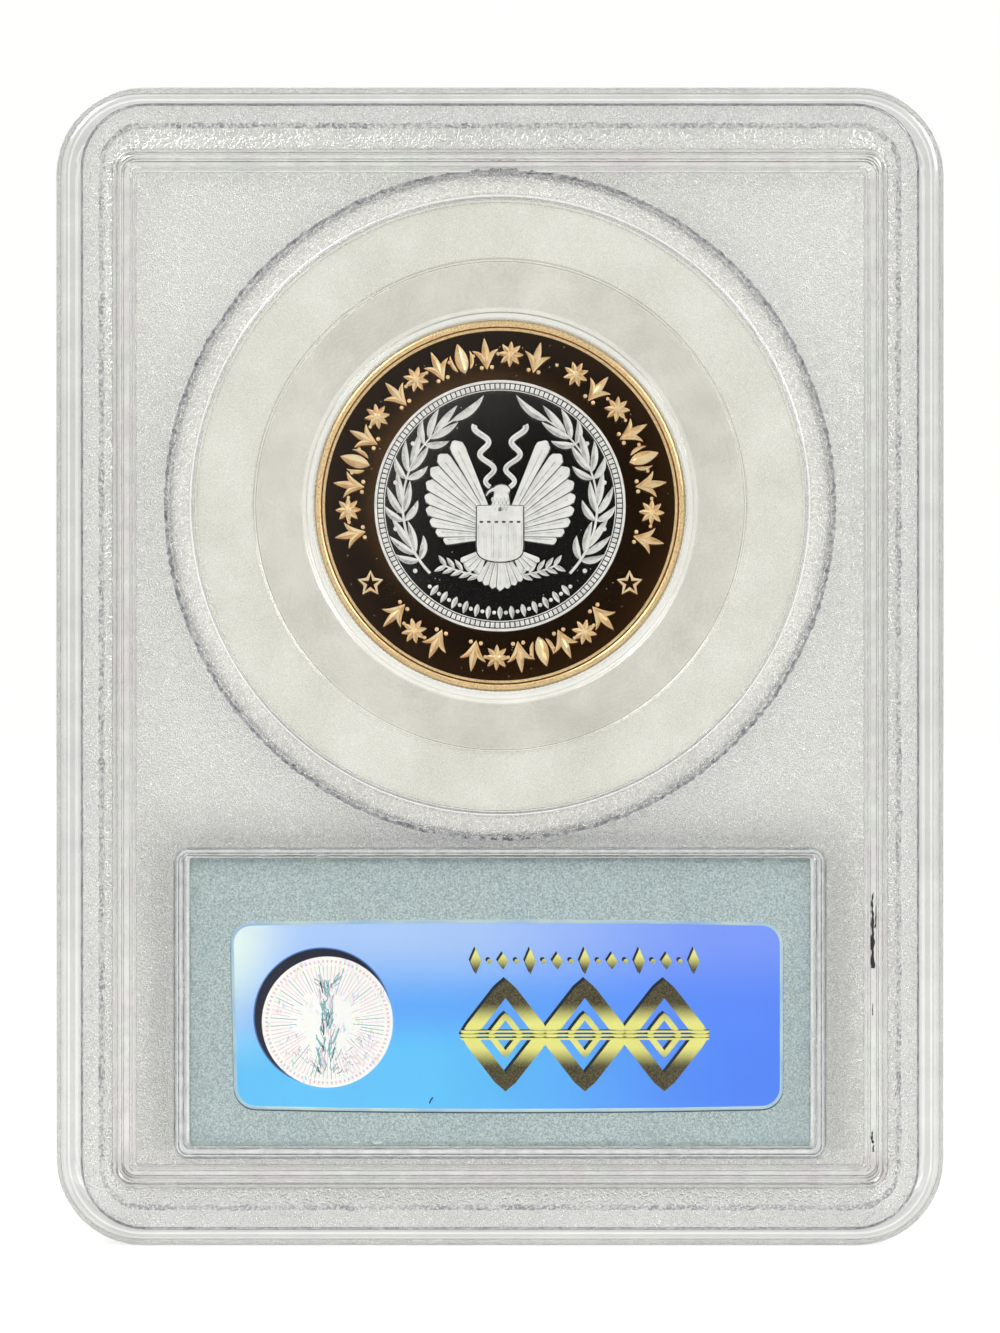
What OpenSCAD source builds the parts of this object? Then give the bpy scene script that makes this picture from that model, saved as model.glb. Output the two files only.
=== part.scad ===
// Graded coin slab: two clear shells, welded together, that seal in a two-metal coin and its label.
// The slab stands on its label end. X is its width, Y its thickness and Z its height, and its back
// face looks towards -Y. The origin is at the middle of the edge that it stands on.

/* [Case] */
// Width of the case
case_w = 64; // [62:0.5:72]
// Height of the case
case_h = 83.5; // [82:0.5:92]
// Thickness of the closed case
case_t = 8; // [7.6:0.1:10]
// Radius of the case's outer corners
corner_r = 6.3; // [5:0.1:7]
// Radius that rounds the case's outer edges
edge_r = 0.9; // [0.4:0.1:1.2]
// Width of the polished rim at the sides
rim_side = 1.9; // [1.6:0.1:2.2]
// Width of the polished rim at the ends
rim_end = 1.3; // [1.2:0.1:1.6]
// Thickness of the case's wall at the sides
wall_side = 3.3; // [2.4:0.1:3.4]
// Thickness of the case's wall at the ends
wall_end = 2.8; // [2.2:0.1:3]
// Depth of the frosted band below the rim
band_drop = 0.4; // [0.2:0.05:0.6]
// Thickness of a shell's face
plate_t = 1.55; // [1.2:0.05:1.6]

/* [Weld frame] */
// Width of the weld frame, over its outer rib
frame_w = 55.8; // [54:0.2:56]
// Height of the weld frame, over its outer rib
frame_h = 74.8; // [74:0.2:76]
// Distance from the case's bottom edge to the frame
frame_z = 4.2; // [3.8:0.1:4.4]
// Width of the frame's wall
frame_wall = 1.7; // [1.5:0.05:1.8]
// Width of each fine rib on the frame
rib_w = 0.5; // [0.3:0.05:0.6]
// Height that a fine rib stands above the frosted band
rib_rise = 0.22; // [0.1:0.02:0.3]
// Height of the weld tongue on the back shell
tongue_h = 0.5; // [0.3:0.05:0.8]

/* [Coin window] */
// Height of the coin's centre above the bottom edge
coin_z = 53.4; // [53:0.1:53.6]
// Outer radius of the round wall that holds the gasket
well_wall_r = 24; // [23.6:0.1:24.2]
// Inner radius of that wall
well_r = 22.3; // [22.2:0.05:22.6]
// Depth of the clear window below the frosted field
window_drop = 0.12; // [0.05:0.01:0.2]

/* [Coin] */
// Diameter of the coin
coin_d = 27; // [26:0.1:28]
// Thickness of the coin at its rim
coin_t = 1.9; // [1.6:0.05:2.2]
// Thickness of the coin at its mirror field
field_t = 1.44; // [1.2:0.02:1.5]
// Width of the coin's rim
coin_rim = 0.7; // [0.5:0.05:1]
// Diameter of the inner disc
core_d = 18.28; // [17:0.1:19]

/* [Gasket] */
// Outer diameter of the gasket
gasket_d = 44.2; // [43.6:0.1:44.2]
// Thickness of the gasket's outer part
gasket_t = 3.7; // [3.4:0.05:3.8]
// Radius at which the gasket steps down
step_r = 18.2; // [17.5:0.1:19]
// Thickness of the gasket's middle part
step_t = 2.9; // [2.6:0.05:3.2]
// Thickness of the gasket's lip, next to the coin
lip_t = 2.4; // [2:0.05:2.5]

/* [Label] */
// Width of the label's box, over its rib
box_w = 47; // [46.4:0.1:50]
// Height of the label's box, over its rib
box_h = 22.4; // [22.2:0.1:22.6]
// Width of the label card
label_w = 45; // [38:0.1:45]
// Height of the label card
label_h = 20.9; // [15:0.1:20.9]
// Thickness of the label card
label_t = 0.36; // [0.2:0.02:0.36]
// Height of the label's centre above the bottom edge
label_z = 17.45; // [17:0.05:17.6]
// Width of the hologram sticker
sticker_w = 39.9; // [30:0.1:42]
// Height of the hologram sticker
sticker_h = 13.7; // [10:0.1:16]
// Thickness of the hologram sticker
sticker_t = 0.1; // [0.06:0.01:0.12]

/* [Hidden] */
$fn = 96;
slack = 0.01;
half_t = case_t / 2;
band_z = half_t - band_drop;
field_drop = 0.05;
field_z = band_z - field_drop;
plate_z = field_z - plate_t;
frame_r = 1.45;
frame_mid = frame_z + frame_h / 2;
frame_in_w = frame_w - 2 * frame_wall;
frame_in_h = frame_h - 2 * frame_wall;
frame_in_r = 0.5;
tongue_w = 0.7;
tongue_inset = (frame_wall - tongue_w) / 2;
weld_gap = 0.05;
window_r = well_wall_r - 0.25;
window_bevel = 1.4;
box_rib = 0.6;
box_r = 1;
box_in_r = 0.4;
pad_gap = 0.05;
front_pad_z = label_t / 2 + pad_gap;
back_pad_z = label_t / 2 + sticker_t + pad_gap;
sticker_x = 0.55;
sticker_z = 16.45;
sticker_r = 1.4;
coin_fit = 0.05;
lip_w = 0.85;
lip_r = coin_d / 2 + lip_w;
riser = 0.1;
gasket_ease = 0.2;
label_r = 0.2;

// Rectangle with round corners, centred on the origin
module rounded_rect(w, h, r) {
    square([w - 2 * r, h], center = true);
    square([w, h - 2 * r], center = true);
    for (sx = [-1, 1], sy = [-1, 1])
        translate([sx * (w / 2 - r), sy * (h / 2 - r)]) circle(r);
}

// Flat ring between two rectangles with round corners
module rounded_ring(w, h, r, inset, wall) {
    difference() {
        rounded_rect(w - 2 * inset, h - 2 * inset, max(r - inset, 0.1));
        rounded_rect(w - 2 * (inset + wall), h - 2 * (inset + wall), max(r - inset - wall, 0.1));
    }
}

// Section through the shell's outer edge, from the corner's centre line outwards
module edge_section() {
    square([corner_r, half_t - edge_r]);
    square([corner_r - edge_r, half_t]);
    translate([corner_r - edge_r, half_t - edge_r]) intersection() {
        circle(edge_r);
        square(edge_r);
    }
}

// Half of the case as one solid block, with its outer edge rounded
module half_block() {
    side = case_h - 2 * corner_r;
    end = case_w - 2 * corner_r;
    linear_extrude(half_t) square([end, side], center = true);
    for (turn = [0, 180]) rotate(turn) {
        translate([end / 2, side / 2]) rotate([90, 0, 0]) linear_extrude(side) edge_section();
        translate([-end / 2, side / 2]) rotate([90, 0, 90]) linear_extrude(end) edge_section();
        translate([end / 2, side / 2]) rotate_extrude(angle = 90) edge_section();
        translate([-end / 2, side / 2]) rotate(90) rotate_extrude(angle = 90) edge_section();
    }
}

// What is cut from the outside of the block: the frosted band, field and the coin's window
module face_cuts() {
    translate([0, case_h / 2, band_z]) linear_extrude(half_t)
        rounded_rect(case_w - 2 * rim_side, case_h - 2 * rim_end, corner_r - rim_side);
    translate([0, frame_mid, field_z]) linear_extrude(half_t)
        rounded_rect(frame_in_w, frame_in_h, frame_in_r);
    translate([0, coin_z, field_z - window_drop])
        cylinder(h = window_drop + slack, r1 = window_r - window_bevel, r2 = window_r);
}

// What is cut from the inside of the block: the hollow edge, the field's hollow and the coin's well
module hollows() {
    translate([0, case_h / 2, -slack]) linear_extrude(plate_z + slack) difference() {
        rounded_rect(case_w - 2 * wall_side, case_h - 2 * wall_end, corner_r - wall_side);
        translate([0, frame_mid - case_h / 2]) rounded_rect(frame_w, frame_h, frame_r);
    }
    translate([0, 0, -slack]) linear_extrude(plate_z + slack) difference() {
        translate([0, frame_mid]) rounded_rect(frame_in_w, frame_in_h, frame_in_r);
        translate([0, coin_z]) circle(well_wall_r);
        translate([0, label_z]) rounded_rect(box_w, box_h, box_r);
    }
    translate([0, coin_z, -slack]) cylinder(h = plate_z + slack, r = well_r);
}

// Half of the case before its weld joint, with its label pad at the given height
module plain_shell(pad_z) {
    difference() {
        translate([0, case_h / 2]) half_block();
        face_cuts();
        hollows();
        translate([0, label_z, -slack]) linear_extrude(pad_z + slack)
            rounded_rect(box_w - 2 * box_rib, box_h - 2 * box_rib, box_in_r);
    }
    for (inset = [0, frame_wall - rib_w])
        translate([0, frame_mid, field_z - slack]) linear_extrude(field_drop + rib_rise + slack)
            rounded_ring(frame_w, frame_h, frame_r, inset, rib_w);
}

// Back half of the case, with the weld tongue
module back_shell() {
    color([0.86, 0.86, 0.85, 0.5]) rotate([90, 0, 0]) {
        plain_shell(back_pad_z);
        translate([0, frame_mid, -tongue_h]) linear_extrude(tongue_h + slack)
            rounded_ring(frame_w, frame_h, frame_r, tongue_inset, tongue_w);
    }
}

// Front half of the case, with the groove that takes the tongue
module front_shell() {
    color([0.88, 0.88, 0.87, 0.5]) mirror([0, 1, 0]) rotate([90, 0, 0]) difference() {
        plain_shell(front_pad_z);
        translate([0, frame_mid, -slack]) linear_extrude(tongue_h + weld_gap + slack)
            rounded_ring(frame_w, frame_h, frame_r, tongue_inset - weld_gap,
                tongue_w + 2 * weld_gap);
    }
}

// Turns a section about the coin's axis. In the section, x is the radius and y the thickness
module about_coin() {
    translate([0, 0, coin_z]) rotate([90, 0, 0]) rotate_extrude() children();
}

// Clear ring that holds the coin in the middle of the well
module coin_gasket() {
    bore = coin_d / 2 + coin_fit;
    rim = gasket_d / 2;
    side = [[bore, lip_t / 2], [lip_r - riser, lip_t / 2], [lip_r + riser, step_t / 2],
        [step_r - 3 * riser, step_t / 2], [step_r + 2 * riser, gasket_t / 2],
        [rim - gasket_ease, gasket_t / 2], [rim, gasket_t / 2 - gasket_ease]];
    far_side = [for (i = [len(side) - 1 : -1 : 0]) [side[i].x, -side[i].y]];
    color([0.88, 0.87, 0.82, 0.6]) about_coin() polygon(concat(side, far_side));
}

// Gold ring of the coin, with a raised rim
module coin_ring() {
    outer = coin_d / 2;
    ease = 0.12;
    side = [[core_d / 2, field_t / 2], [outer - coin_rim - ease, field_t / 2],
        [outer - coin_rim, coin_t / 2], [outer - ease, coin_t / 2], [outer, coin_t / 2 - ease]];
    far_side = [for (i = [len(side) - 1 : -1 : 0]) [side[i].x, -side[i].y]];
    color([0.83, 0.66, 0.36]) about_coin() polygon(concat(side, far_side));
}

// Platinum disc in the middle of the coin, with a raised border
module coin_core() {
    border_w = 0.57;
    border_rise = 0.12;
    border_r = core_d / 2 - 0.05;
    outer = core_d / 2;
    color([0.85, 0.86, 0.88]) about_coin() {
        translate([0, -field_t / 2]) square([outer, field_t]);
        translate([border_r - border_w, -field_t / 2 - border_rise])
            square([border_w, field_t + 2 * border_rise]);
    }
}

// Printed paper label
module label_card() {
    color([0.66, 0.74, 0.75]) translate([0, label_t / 2, label_z]) rotate([90, 0, 0])
        linear_extrude(label_t) rounded_rect(label_w, label_h, label_r);
}

// Foil sticker on the back of the label
module hologram_sticker() {
    color([0.35, 0.6, 0.95]) translate([sticker_x, -label_t / 2, sticker_z]) rotate([90, 0, 0])
        linear_extrude(sticker_t) rounded_rect(sticker_w, sticker_h, sticker_r);
}

back_shell();
front_shell();
coin_gasket();
coin_ring();
coin_core();
label_card();
hologram_sticker();
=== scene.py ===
"""Looks of the graded coin slab: its clear shells, gasket, proof coin, label and foil sticker.

Sizes are in millimetres until a mesh is made. A face is drawn in its own plane as (x, y) with a
height `out`, measured from the middle of the slab towards that face.
"""
import math
import random

import bmesh
import bpy
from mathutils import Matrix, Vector, noise
from mathutils.geometry import tessellate_polygon


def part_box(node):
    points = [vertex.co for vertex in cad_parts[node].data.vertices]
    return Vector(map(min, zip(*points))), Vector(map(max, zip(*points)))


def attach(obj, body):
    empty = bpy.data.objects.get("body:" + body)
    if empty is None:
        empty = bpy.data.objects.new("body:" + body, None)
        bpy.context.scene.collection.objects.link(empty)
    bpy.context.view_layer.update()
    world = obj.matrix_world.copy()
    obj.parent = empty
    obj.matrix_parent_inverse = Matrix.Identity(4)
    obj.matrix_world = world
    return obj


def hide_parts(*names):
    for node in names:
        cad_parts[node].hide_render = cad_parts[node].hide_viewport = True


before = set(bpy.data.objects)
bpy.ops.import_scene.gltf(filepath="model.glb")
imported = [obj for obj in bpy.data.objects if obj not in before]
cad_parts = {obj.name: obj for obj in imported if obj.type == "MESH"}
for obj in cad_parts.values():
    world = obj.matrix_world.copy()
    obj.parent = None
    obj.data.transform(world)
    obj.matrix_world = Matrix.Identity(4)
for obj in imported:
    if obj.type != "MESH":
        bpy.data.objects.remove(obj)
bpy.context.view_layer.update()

MM = 0.001
BACK, FRONT = -1, 1
CASE, CARRIER = "case", "coin_carrier"


def node_box(*nodes):
    """Lowest and highest corner of some CAD nodes, in millimetres."""
    corners = [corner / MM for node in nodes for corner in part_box(node)]
    low = Vector([min(corner[i] for corner in corners) for i in range(3)])
    high = Vector([max(corner[i] for corner in corners) for i in range(3)])
    return low, high


# ---------------------------------------------------------------- sizes taken from the frame
case_high = node_box("back_shell", "front_shell")[1]
HALF_W, CASE_H, HALF_T = case_high.x, case_high.z, case_high.y
coin_low, coin_high = node_box("coin_ring")
COIN_Z = (coin_low.z + coin_high.z) / 2
COIN_R, COIN_HALF_T = coin_high.x, coin_high.y
CORE_R = node_box("coin_core")[1].x
gasket_high = node_box("coin_gasket")[1]
GASKET_R, GASKET_HALF_T = gasket_high.x, gasket_high.y
card_low, card_high = node_box("label_card")
foil_low, foil_high = node_box("hologram_sticker")

# ---------------------------------------------------------------- sizes that the design repeats
CORNER_R, EDGE_R = 6.3, 0.9
RIM_SIDE, RIM_END = 1.9, 1.3
WALL_SIDE, WALL_END = 3.3, 2.8
BAND, FIELD, PLATE = 3.6, 3.55, 2.0
FRAME_HW, FRAME_HH, FRAME_Z, FRAME_R = 27.9, 37.4, 41.6, 1.45
FRAME_WALL, RIB_W, RIB_RISE = 1.7, 0.5, 0.22
TONGUE_W, TONGUE_H, WELD_GAP = 0.7, 0.5, 0.05
WELL_WALL_R, WELL_R = 23.85, 22.3
SEAM, ROOT_R = 0.03, 0.28
WINDOW_R, WINDOW_FLAT_R, WINDOW_DROP = 24.2, 22.35, 0.12
BOX_HW, BOX_HH, BOX_RIB = 23.5, 11.2, 0.6
BOX_Z = (card_low.z + card_high.z) / 2
DISC_X, DISC_Z, DISC_R = -12.5, 16.0, 4.75
MARK_X, MARK_Z, MARK_HH = 6.15, 15.05, 3.9
FIELD_HALF_T = 0.72
COIN_RIM = 0.7
SUNK = 0.004                                # how deep a print reaches into what it lies on

# ---------------------------------------------------------------- where painted shade and glint begin and end
FOOT_LOW, FOOT_HIGH = 5.9, 7.0              # height, of the ribs' darker foot
LABEL_SHADE_TOP = (27.0, 34.0)              # height, above the label
LABEL_SHADE_FOOT = (7.6, 6.8)               # height, below the label
BAND_FOOT_Z = 3.55                          # middle height of the band's foot
WINDOW_SHADE = (33.0, 42.0)                 # height, of the window ring's darker foot
GLINT_X = (24.7, 25.5)                      # distance from the middle, of the sparkling side strip


# ================================================================ mesh tools
class Shape:
    """Collects vertices and faces on one face of the slab, then makes a Blender object."""

    def __init__(self, side=BACK, centre=(0.0, 0.0), upright=True):
        self.side, self.centre, self.up = side, centre, 1 if upright else -1
        self.verts, self.faces, self.slots = [], [], []

    def point(self, x, y, out):
        """Adds one vertex and returns its number."""
        cx, cz = self.centre
        self.verts.append(((cx + x) * MM, self.side * out * MM, (cz + self.up * y) * MM))
        return len(self.verts) - 1

    def loop(self, points, out):
        """Adds a loop of vertices. `out` is a height, or a function of x and y."""
        height = out if callable(out) else lambda x, y: out
        return [self.point(x, y, height(x, y)) for x, y in points]

    def strip(self, a, b, slot=0, closed=True):
        """Joins two loops that have the same number of vertices."""
        count = len(a)
        for i in range(count if closed else count - 1):
            j = (i + 1) % count
            self.face([a[i], a[j], b[j], b[i]], slot)

    def face(self, corners, slot=0):
        self.faces.append(corners)
        self.slots.append(slot)

    def fill(self, loops, slot=0):
        """Fills the flat region between an outer loop and the loops of its holes."""
        flat = [number for loop in loops for number in loop]
        outlines = [[Vector(self.verts[number]) for number in loop] for loop in loops]
        for triangle in tessellate_polygon(outlines):
            self.face([flat[i] for i in triangle], slot)

    def solid(self, loops, slot=0):
        """Joins loops from the lowest to the highest and closes both ends."""
        self.face(loops[0][::-1], slot)
        for a, b in zip(loops, loops[1:]):
            self.strip(a, b, slot)
        self.face(loops[-1], slot)

    def object(self, name, materials, sharp=30, weighted=True):
        """Makes the Blender object, smooth except at edges sharper than `sharp` degrees."""
        mesh = bpy.data.meshes.new(name)
        mesh.from_pydata(self.verts, [], self.faces)
        for material in materials:
            mesh.materials.append(material)
        mesh.polygons.foreach_set("material_index", self.slots)
        body = bmesh.new()
        body.from_mesh(mesh)
        bmesh.ops.recalc_face_normals(body, faces=body.faces)
        body.to_mesh(mesh)
        body.free()
        mesh.polygons.foreach_set("use_smooth", [True] * len(mesh.polygons))
        mesh.set_sharp_from_angle(angle=math.radians(sharp))
        piece = bpy.data.objects.new(name, mesh)
        bpy.context.scene.collection.objects.link(piece)
        if weighted:
            normals = piece.modifiers.new("weighted_normals", "WEIGHTED_NORMAL")
            normals.keep_sharp = True
        return piece


def rounded(hw, hh, cy, r, steps=10, along=0):
    """Points round a rectangle with round corners, with `along` more on each straight side."""
    corners = []
    for sx, sy, start in ((1, 1, 0), (-1, 1, 90), (-1, -1, 180), (1, -1, 270)):
        x, y = sx * (hw - r), cy + sy * (hh - r)
        turns = [math.radians(start + 90 * i / steps) for i in range(steps + 1)]
        corners.append([(x + r * math.cos(a), y + r * math.sin(a)) for a in turns])
    points = []
    for corner, following in zip(corners, corners[1:] + corners[:1]):
        points += corner
        (x0, y0), (x1, y1) = corner[-1], following[0]
        for i in range(1, along + 1):
            share = i / (along + 1)
            points.append((x0 + (x1 - x0) * share, y0 + (y1 - y0) * share))
    return points


def wavy(points, amount, size, seed=0.0):
    """Moves points a little and smoothly, as no moulded edge is perfectly even."""
    moved = []
    for x, y in points:
        dx = noise.noise(Vector((x / size, y / size, seed)))
        dy = noise.noise(Vector((x / size, y / size, seed + 20)))
        moved.append((x + amount * dx, y + amount * dy))
    return moved


def circle(r, count=192, x=0.0, y=0.0):
    """Points round a circle."""
    turn = 2 * math.pi / count
    return [(x + r * math.cos(turn * i), y + r * math.sin(turn * i)) for i in range(count)]


def polar(r, degrees):
    a = math.radians(degrees)
    return r * math.cos(a), r * math.sin(a)


def quarter(steps=6):
    """Sine and cosine pairs of a quarter turn, from 0 to 90 degrees."""
    turns = [math.pi / 2 * i / steps for i in range(steps + 1)]
    return [(math.sin(a), math.cos(a)) for a in turns]


# ================================================================ materials
def linear(red, green, blue):
    """Linear colour from the usual 0 to 255 values."""
    def channel(value):
        value /= 255
        return value / 12.92 if value <= 0.04045 else ((value + 0.055) / 1.055) ** 2.4
    return (channel(red), channel(green), channel(blue), 1.0)


def add_node(tree, kind, settings=None, **inputs):
    """Adds a shader node. Inputs are given by name or as i0, i1 and so on; a socket is linked."""
    made = tree.nodes.new("ShaderNode" + kind)
    for name, value in (settings or {}).items():
        setattr(made, name, value)
    for name, value in inputs.items():
        key = int(name[1:]) if name[1:].isdigit() else name.replace("_", " ")
        if isinstance(value, bpy.types.NodeSocket):
            tree.links.new(value, made.inputs[key])
        else:
            made.inputs[key].default_value = value
    return made


class Paint:
    """A node material with one Principled shader. Its methods add nodes and return sockets."""

    def __init__(self, name, **values):
        self.material = bpy.data.materials.new(name)
        self.material.use_nodes = True
        self.tree = self.material.node_tree
        self.shader = self.tree.nodes["Principled BSDF"]
        for socket, value in values.items():
            self.shader.inputs[socket.replace("_", " ")].default_value = value

    def node(self, kind, settings=None, **inputs):
        return add_node(self.tree, kind, settings, **inputs)

    def place(self, stretch=(1, 1, 1)):
        """Object coordinates in millimetres, stretched along each axis."""
        coordinates = self.node("TexCoord").outputs["Object"]
        scale = [s / MM for s in stretch]
        return self.node("Mapping", Vector=coordinates, Scale=scale).outputs["Vector"]

    def axis(self, letter):
        """One of the object coordinates in millimetres."""
        return self.node("SeparateXYZ", Vector=self.place()).outputs[letter]

    def reach(self, x, z):
        """Distance in millimetres from an axis that runs through the thickness."""
        spoke = self.node("CombineXYZ", X=self.math("SUBTRACT", self.axis("X"), x),
                          Y=self.math("SUBTRACT", self.axis("Z"), z))
        return self.node("VectorMath", {"operation": "LENGTH"}, i0=spoke.outputs[0]).outputs["Value"]

    def grey(self, value):
        return self.node("CombineColor", Red=value, Green=value, Blue=value).outputs[0]

    def noise(self, per_mm, detail=2.0, stretch=(1, 1, 1), rough=0.5):
        made = self.node("TexNoise", Vector=self.place(stretch), Scale=per_mm, Detail=detail,
                         Roughness=rough)
        return made.outputs["Fac"]

    def ramp(self, value, low, high, to_low=0.0, to_high=1.0):
        """Maps a value's range to another, clamped, with a smooth curve."""
        made = self.node("MapRange", {"interpolation_type": "SMOOTHSTEP"}, Value=value,
                         From_Min=low, From_Max=high, To_Min=to_low, To_Max=to_high)
        return made.outputs["Result"]

    def cloud(self, per_mm, detail=2.0, stretch=(1, 1, 1), rough=0.5, to_low=0.0, to_high=1.0):
        """Noise that is spread over the whole range from `to_low` to `to_high`."""
        return self.ramp(self.noise(per_mm, detail, stretch, rough), 0.3, 0.7, to_low, to_high)

    def rough(self, value, low, high):
        """Roughness from `low` where the value is 0 to `high` where it is 1."""
        self.link("Roughness", self.ramp(value, 0.0, 1.0, low, high))

    def mix(self, amount, a, b, blend="MIX"):
        """Mixes two colours."""
        made = self.node("Mix", {"data_type": "RGBA", "blend_type": blend}, i0=amount, i6=a, i7=b)
        return made.outputs[2]

    def math(self, operation, a, b=0.0):
        return self.node("Math", {"operation": operation}, i0=a, i1=b).outputs[0]

    def blend(self, a, b, share):
        """Sum of two values, with `share` of the first."""
        return self.math("ADD", self.math("MULTIPLY", a, share), self.math("MULTIPLY", b, 1 - share))

    def link(self, socket, value):
        self.tree.links.new(value, self.shader.inputs[socket])

    def glow(self, strength, colour=(1.0, 1.0, 1.0, 1)):
        self.shader.inputs["Emission Color"].default_value = colour
        self.shader.inputs["Emission Strength"].default_value = strength

    def bump(self, height, depth_mm, strength=1.0):
        made = self.node("Bump", Height=height, Distance=depth_mm * MM, Strength=strength)
        self.tree.links.new(made.outputs["Normal"], self.shader.inputs["Normal"])


POLYSTYRENE = dict(IOR=1.58, Transmission_Weight=1.0)
# FOIL_GLOW is a painted glow of the foil's own colours; FLOOR_GLOW keeps the floor evenly white.
FOIL_GLOW, FLOOR_GLOW = 0.16, 0.72


def clear_polished():
    paint = Paint("clear_polished", **POLYSTYRENE)
    tint = paint.cloud(0.12)
    paint.link("Base Color", paint.mix(tint, (0.955, 0.955, 0.945, 1), (0.975, 0.975, 0.965, 1)))
    paint.link("Roughness", paint.ramp(paint.noise(0.35, 5.0), 0.35, 0.75, 0.005, 0.03))
    return paint.material


def tinted(name, shade, light, per_mm=0.6, stretch=(1, 1, 1), rough=0.06, foot=1.0,
           glow=0.0):
    """Polished plastic in a darker tint: a painted shade for how clear plastic looks at an edge or
    through a thick wall. `foot` adds a painted shade near the bottom, and `glow` a painted glow."""
    paint = Paint(name, **POLYSTYRENE)
    cloud = paint.cloud(per_mm, 4.0, stretch)
    # painted shade: darker towards the bottom, down to the factor `foot`
    tone = paint.grey(paint.ramp(paint.axis("Z"), FOOT_LOW, FOOT_HIGH, foot, 1.0))
    paint.link("Base Color", paint.mix(1.0, paint.mix(cloud, shade, light), tone, "MULTIPLY"))
    paint.link("Roughness", paint.cloud(0.5, 4.0, to_low=rough * 0.3, to_high=rough))
    # painted glow: the plastic gives off a little light of its own
    paint.glow(glow, (1.0, 1.0, 0.97, 1))
    return paint.material


def worms(paint, per_mm, width):
    """The short bright curls of a spark-eroded mould face, 0 between them and 1 on them."""
    wave = paint.math("SUBTRACT", paint.noise(per_mm, 1.5, rough=0.6), 0.5)
    return paint.ramp(paint.math("ABSOLUTE", wave), 0.0, width, 1.0, 0.0)


def clear_frosted(name, shade, low_shade=1.0, foot_shade=1.0, curl=0.8, rough=0.42,
                  side_glint=1.0, per_mm=3.9):
    """Plastic with a sparkling matte face. `shade` is its darkest tone and `curl` the share of
    curls in its grain. `low_shade` is a painted shade beside the label, `foot_shade` a painted
    shade in the strip below the frame, and `side_glint` a painted glint in a strip at each side."""
    paint = Paint(name, **POLYSTYRENE)
    curls = worms(paint, per_mm, 0.09)
    speck = paint.ramp(paint.noise(8.0, 2.0, rough=0.7), 0.35, 0.65)
    grain = paint.blend(curls, speck, curl)
    height = paint.axis("Z")
    from_foot = paint.math("ABSOLUTE", paint.math("SUBTRACT", height, BAND_FOOT_Z))
    # painted shade beside the label, a painted lighter strip just below it, and a painted shade in the
    # band's foot
    beside = paint.math("MAXIMUM", paint.ramp(height, *LABEL_SHADE_TOP, low_shade, 1.0),
                        paint.ramp(height, *LABEL_SHADE_FOOT, 0.0, 0.97))
    low = paint.math("MULTIPLY", beside, paint.ramp(from_foot, 0.6, 0.85, foot_shade, 1.0))
    cloud = paint.math("MULTIPLY", low, paint.ramp(paint.noise(0.1, 3.0), 0.3, 0.7, 0.97, 1.0))
    # painted glint: a sparkling strip at each side
    across = paint.math("ABSOLUTE", paint.axis("X"))
    patches = paint.ramp(paint.noise(0.5, 3.0), 0.35, 0.6, 0.3 * side_glint, side_glint)
    sparkle = paint.math("MULTIPLY", patches, paint.ramp(grain, 0.1, 0.9, 0.35, 1.0))
    glint = paint.math("MULTIPLY", paint.ramp(across, *GLINT_X), sparkle)
    curled = paint.mix(grain, (shade, shade, shade * 0.96, 1), (1.0, 1.0, 0.955, 1))
    matte = paint.mix(1.0, curled, paint.grey(cloud), "MULTIPLY")
    paint.link("Base Color", paint.mix(glint, matte, (1.0, 1.0, 0.96, 1)))
    paint.rough(grain, rough, rough * 0.4)
    paint.bump(grain, 0.35 / per_mm * curl, 0.9)
    return paint.material


def clear_crinkled():
    """The coarser, wrinkled ring round the window. It is darkest at its outside."""
    paint = Paint("clear_crinkled", **POLYSTYRENE)
    curls = worms(paint, 1.9, 0.1)
    speck = paint.ramp(paint.noise(5.5, 2.0, rough=0.7), 0.35, 0.65)
    grain = paint.blend(curls, speck, 0.5)
    outer = paint.ramp(paint.reach(0.0, COIN_Z), WINDOW_FLAT_R + 0.2, WINDOW_R)
    # painted shade: the ring is darker towards the bottom
    shadow = paint.grey(paint.ramp(paint.axis("Z"), *WINDOW_SHADE, 0.85, 1.0))
    inner_tone = paint.mix(1.0, paint.mix(grain, (0.66, 0.65, 0.60, 1), (0.88, 0.87, 0.82, 1)),
                           shadow, "MULTIPLY")
    outer_tone = paint.mix(grain, (0.46, 0.46, 0.47, 1), (0.86, 0.86, 0.84, 1))
    paint.link("Base Color", paint.mix(outer, inner_tone, outer_tone))
    paint.rough(grain, 0.3, 0.1)
    paint.bump(grain, 0.06, 0.7)
    return paint.material


def clear_ragged():
    """A torn, specked line where the frosting meets the moulded wall."""
    paint = Paint("clear_ragged", **POLYSTYRENE)
    speck = paint.ramp(paint.noise(4.8, 3.0, rough=0.7), 0.43, 0.54)
    stretch = paint.ramp(paint.noise(0.35, 2.0), 0.35, 0.65, 0.6, 1.0)
    amount = paint.math("MULTIPLY", speck, stretch)
    paint.link("Base Color", paint.mix(amount, (0.93, 0.93, 0.92, 1), (0.2, 0.2, 0.22, 1)))
    paint.rough(amount, 0.25, 0.08)
    paint.bump(speck, 0.05, 0.8)
    return paint.material


def gasket_plastic(name, shade, light, rough, grain_bump=0.0):
    """Faintly warm clear plastic of the gasket, the same all round, as the gasket can turn."""
    paint = Paint(name, **POLYSTYRENE)
    cloud = paint.cloud(0.25, 4.0)
    grain = paint.cloud(7.0, 2.0)
    tone = paint.blend(cloud, grain, 0.6)
    paint.link("Base Color", paint.mix(tone, shade, light))
    paint.rough(grain, rough * 0.7, rough)
    if grain_bump:
        paint.bump(grain, grain_bump, 0.5)
    return paint.material


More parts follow.
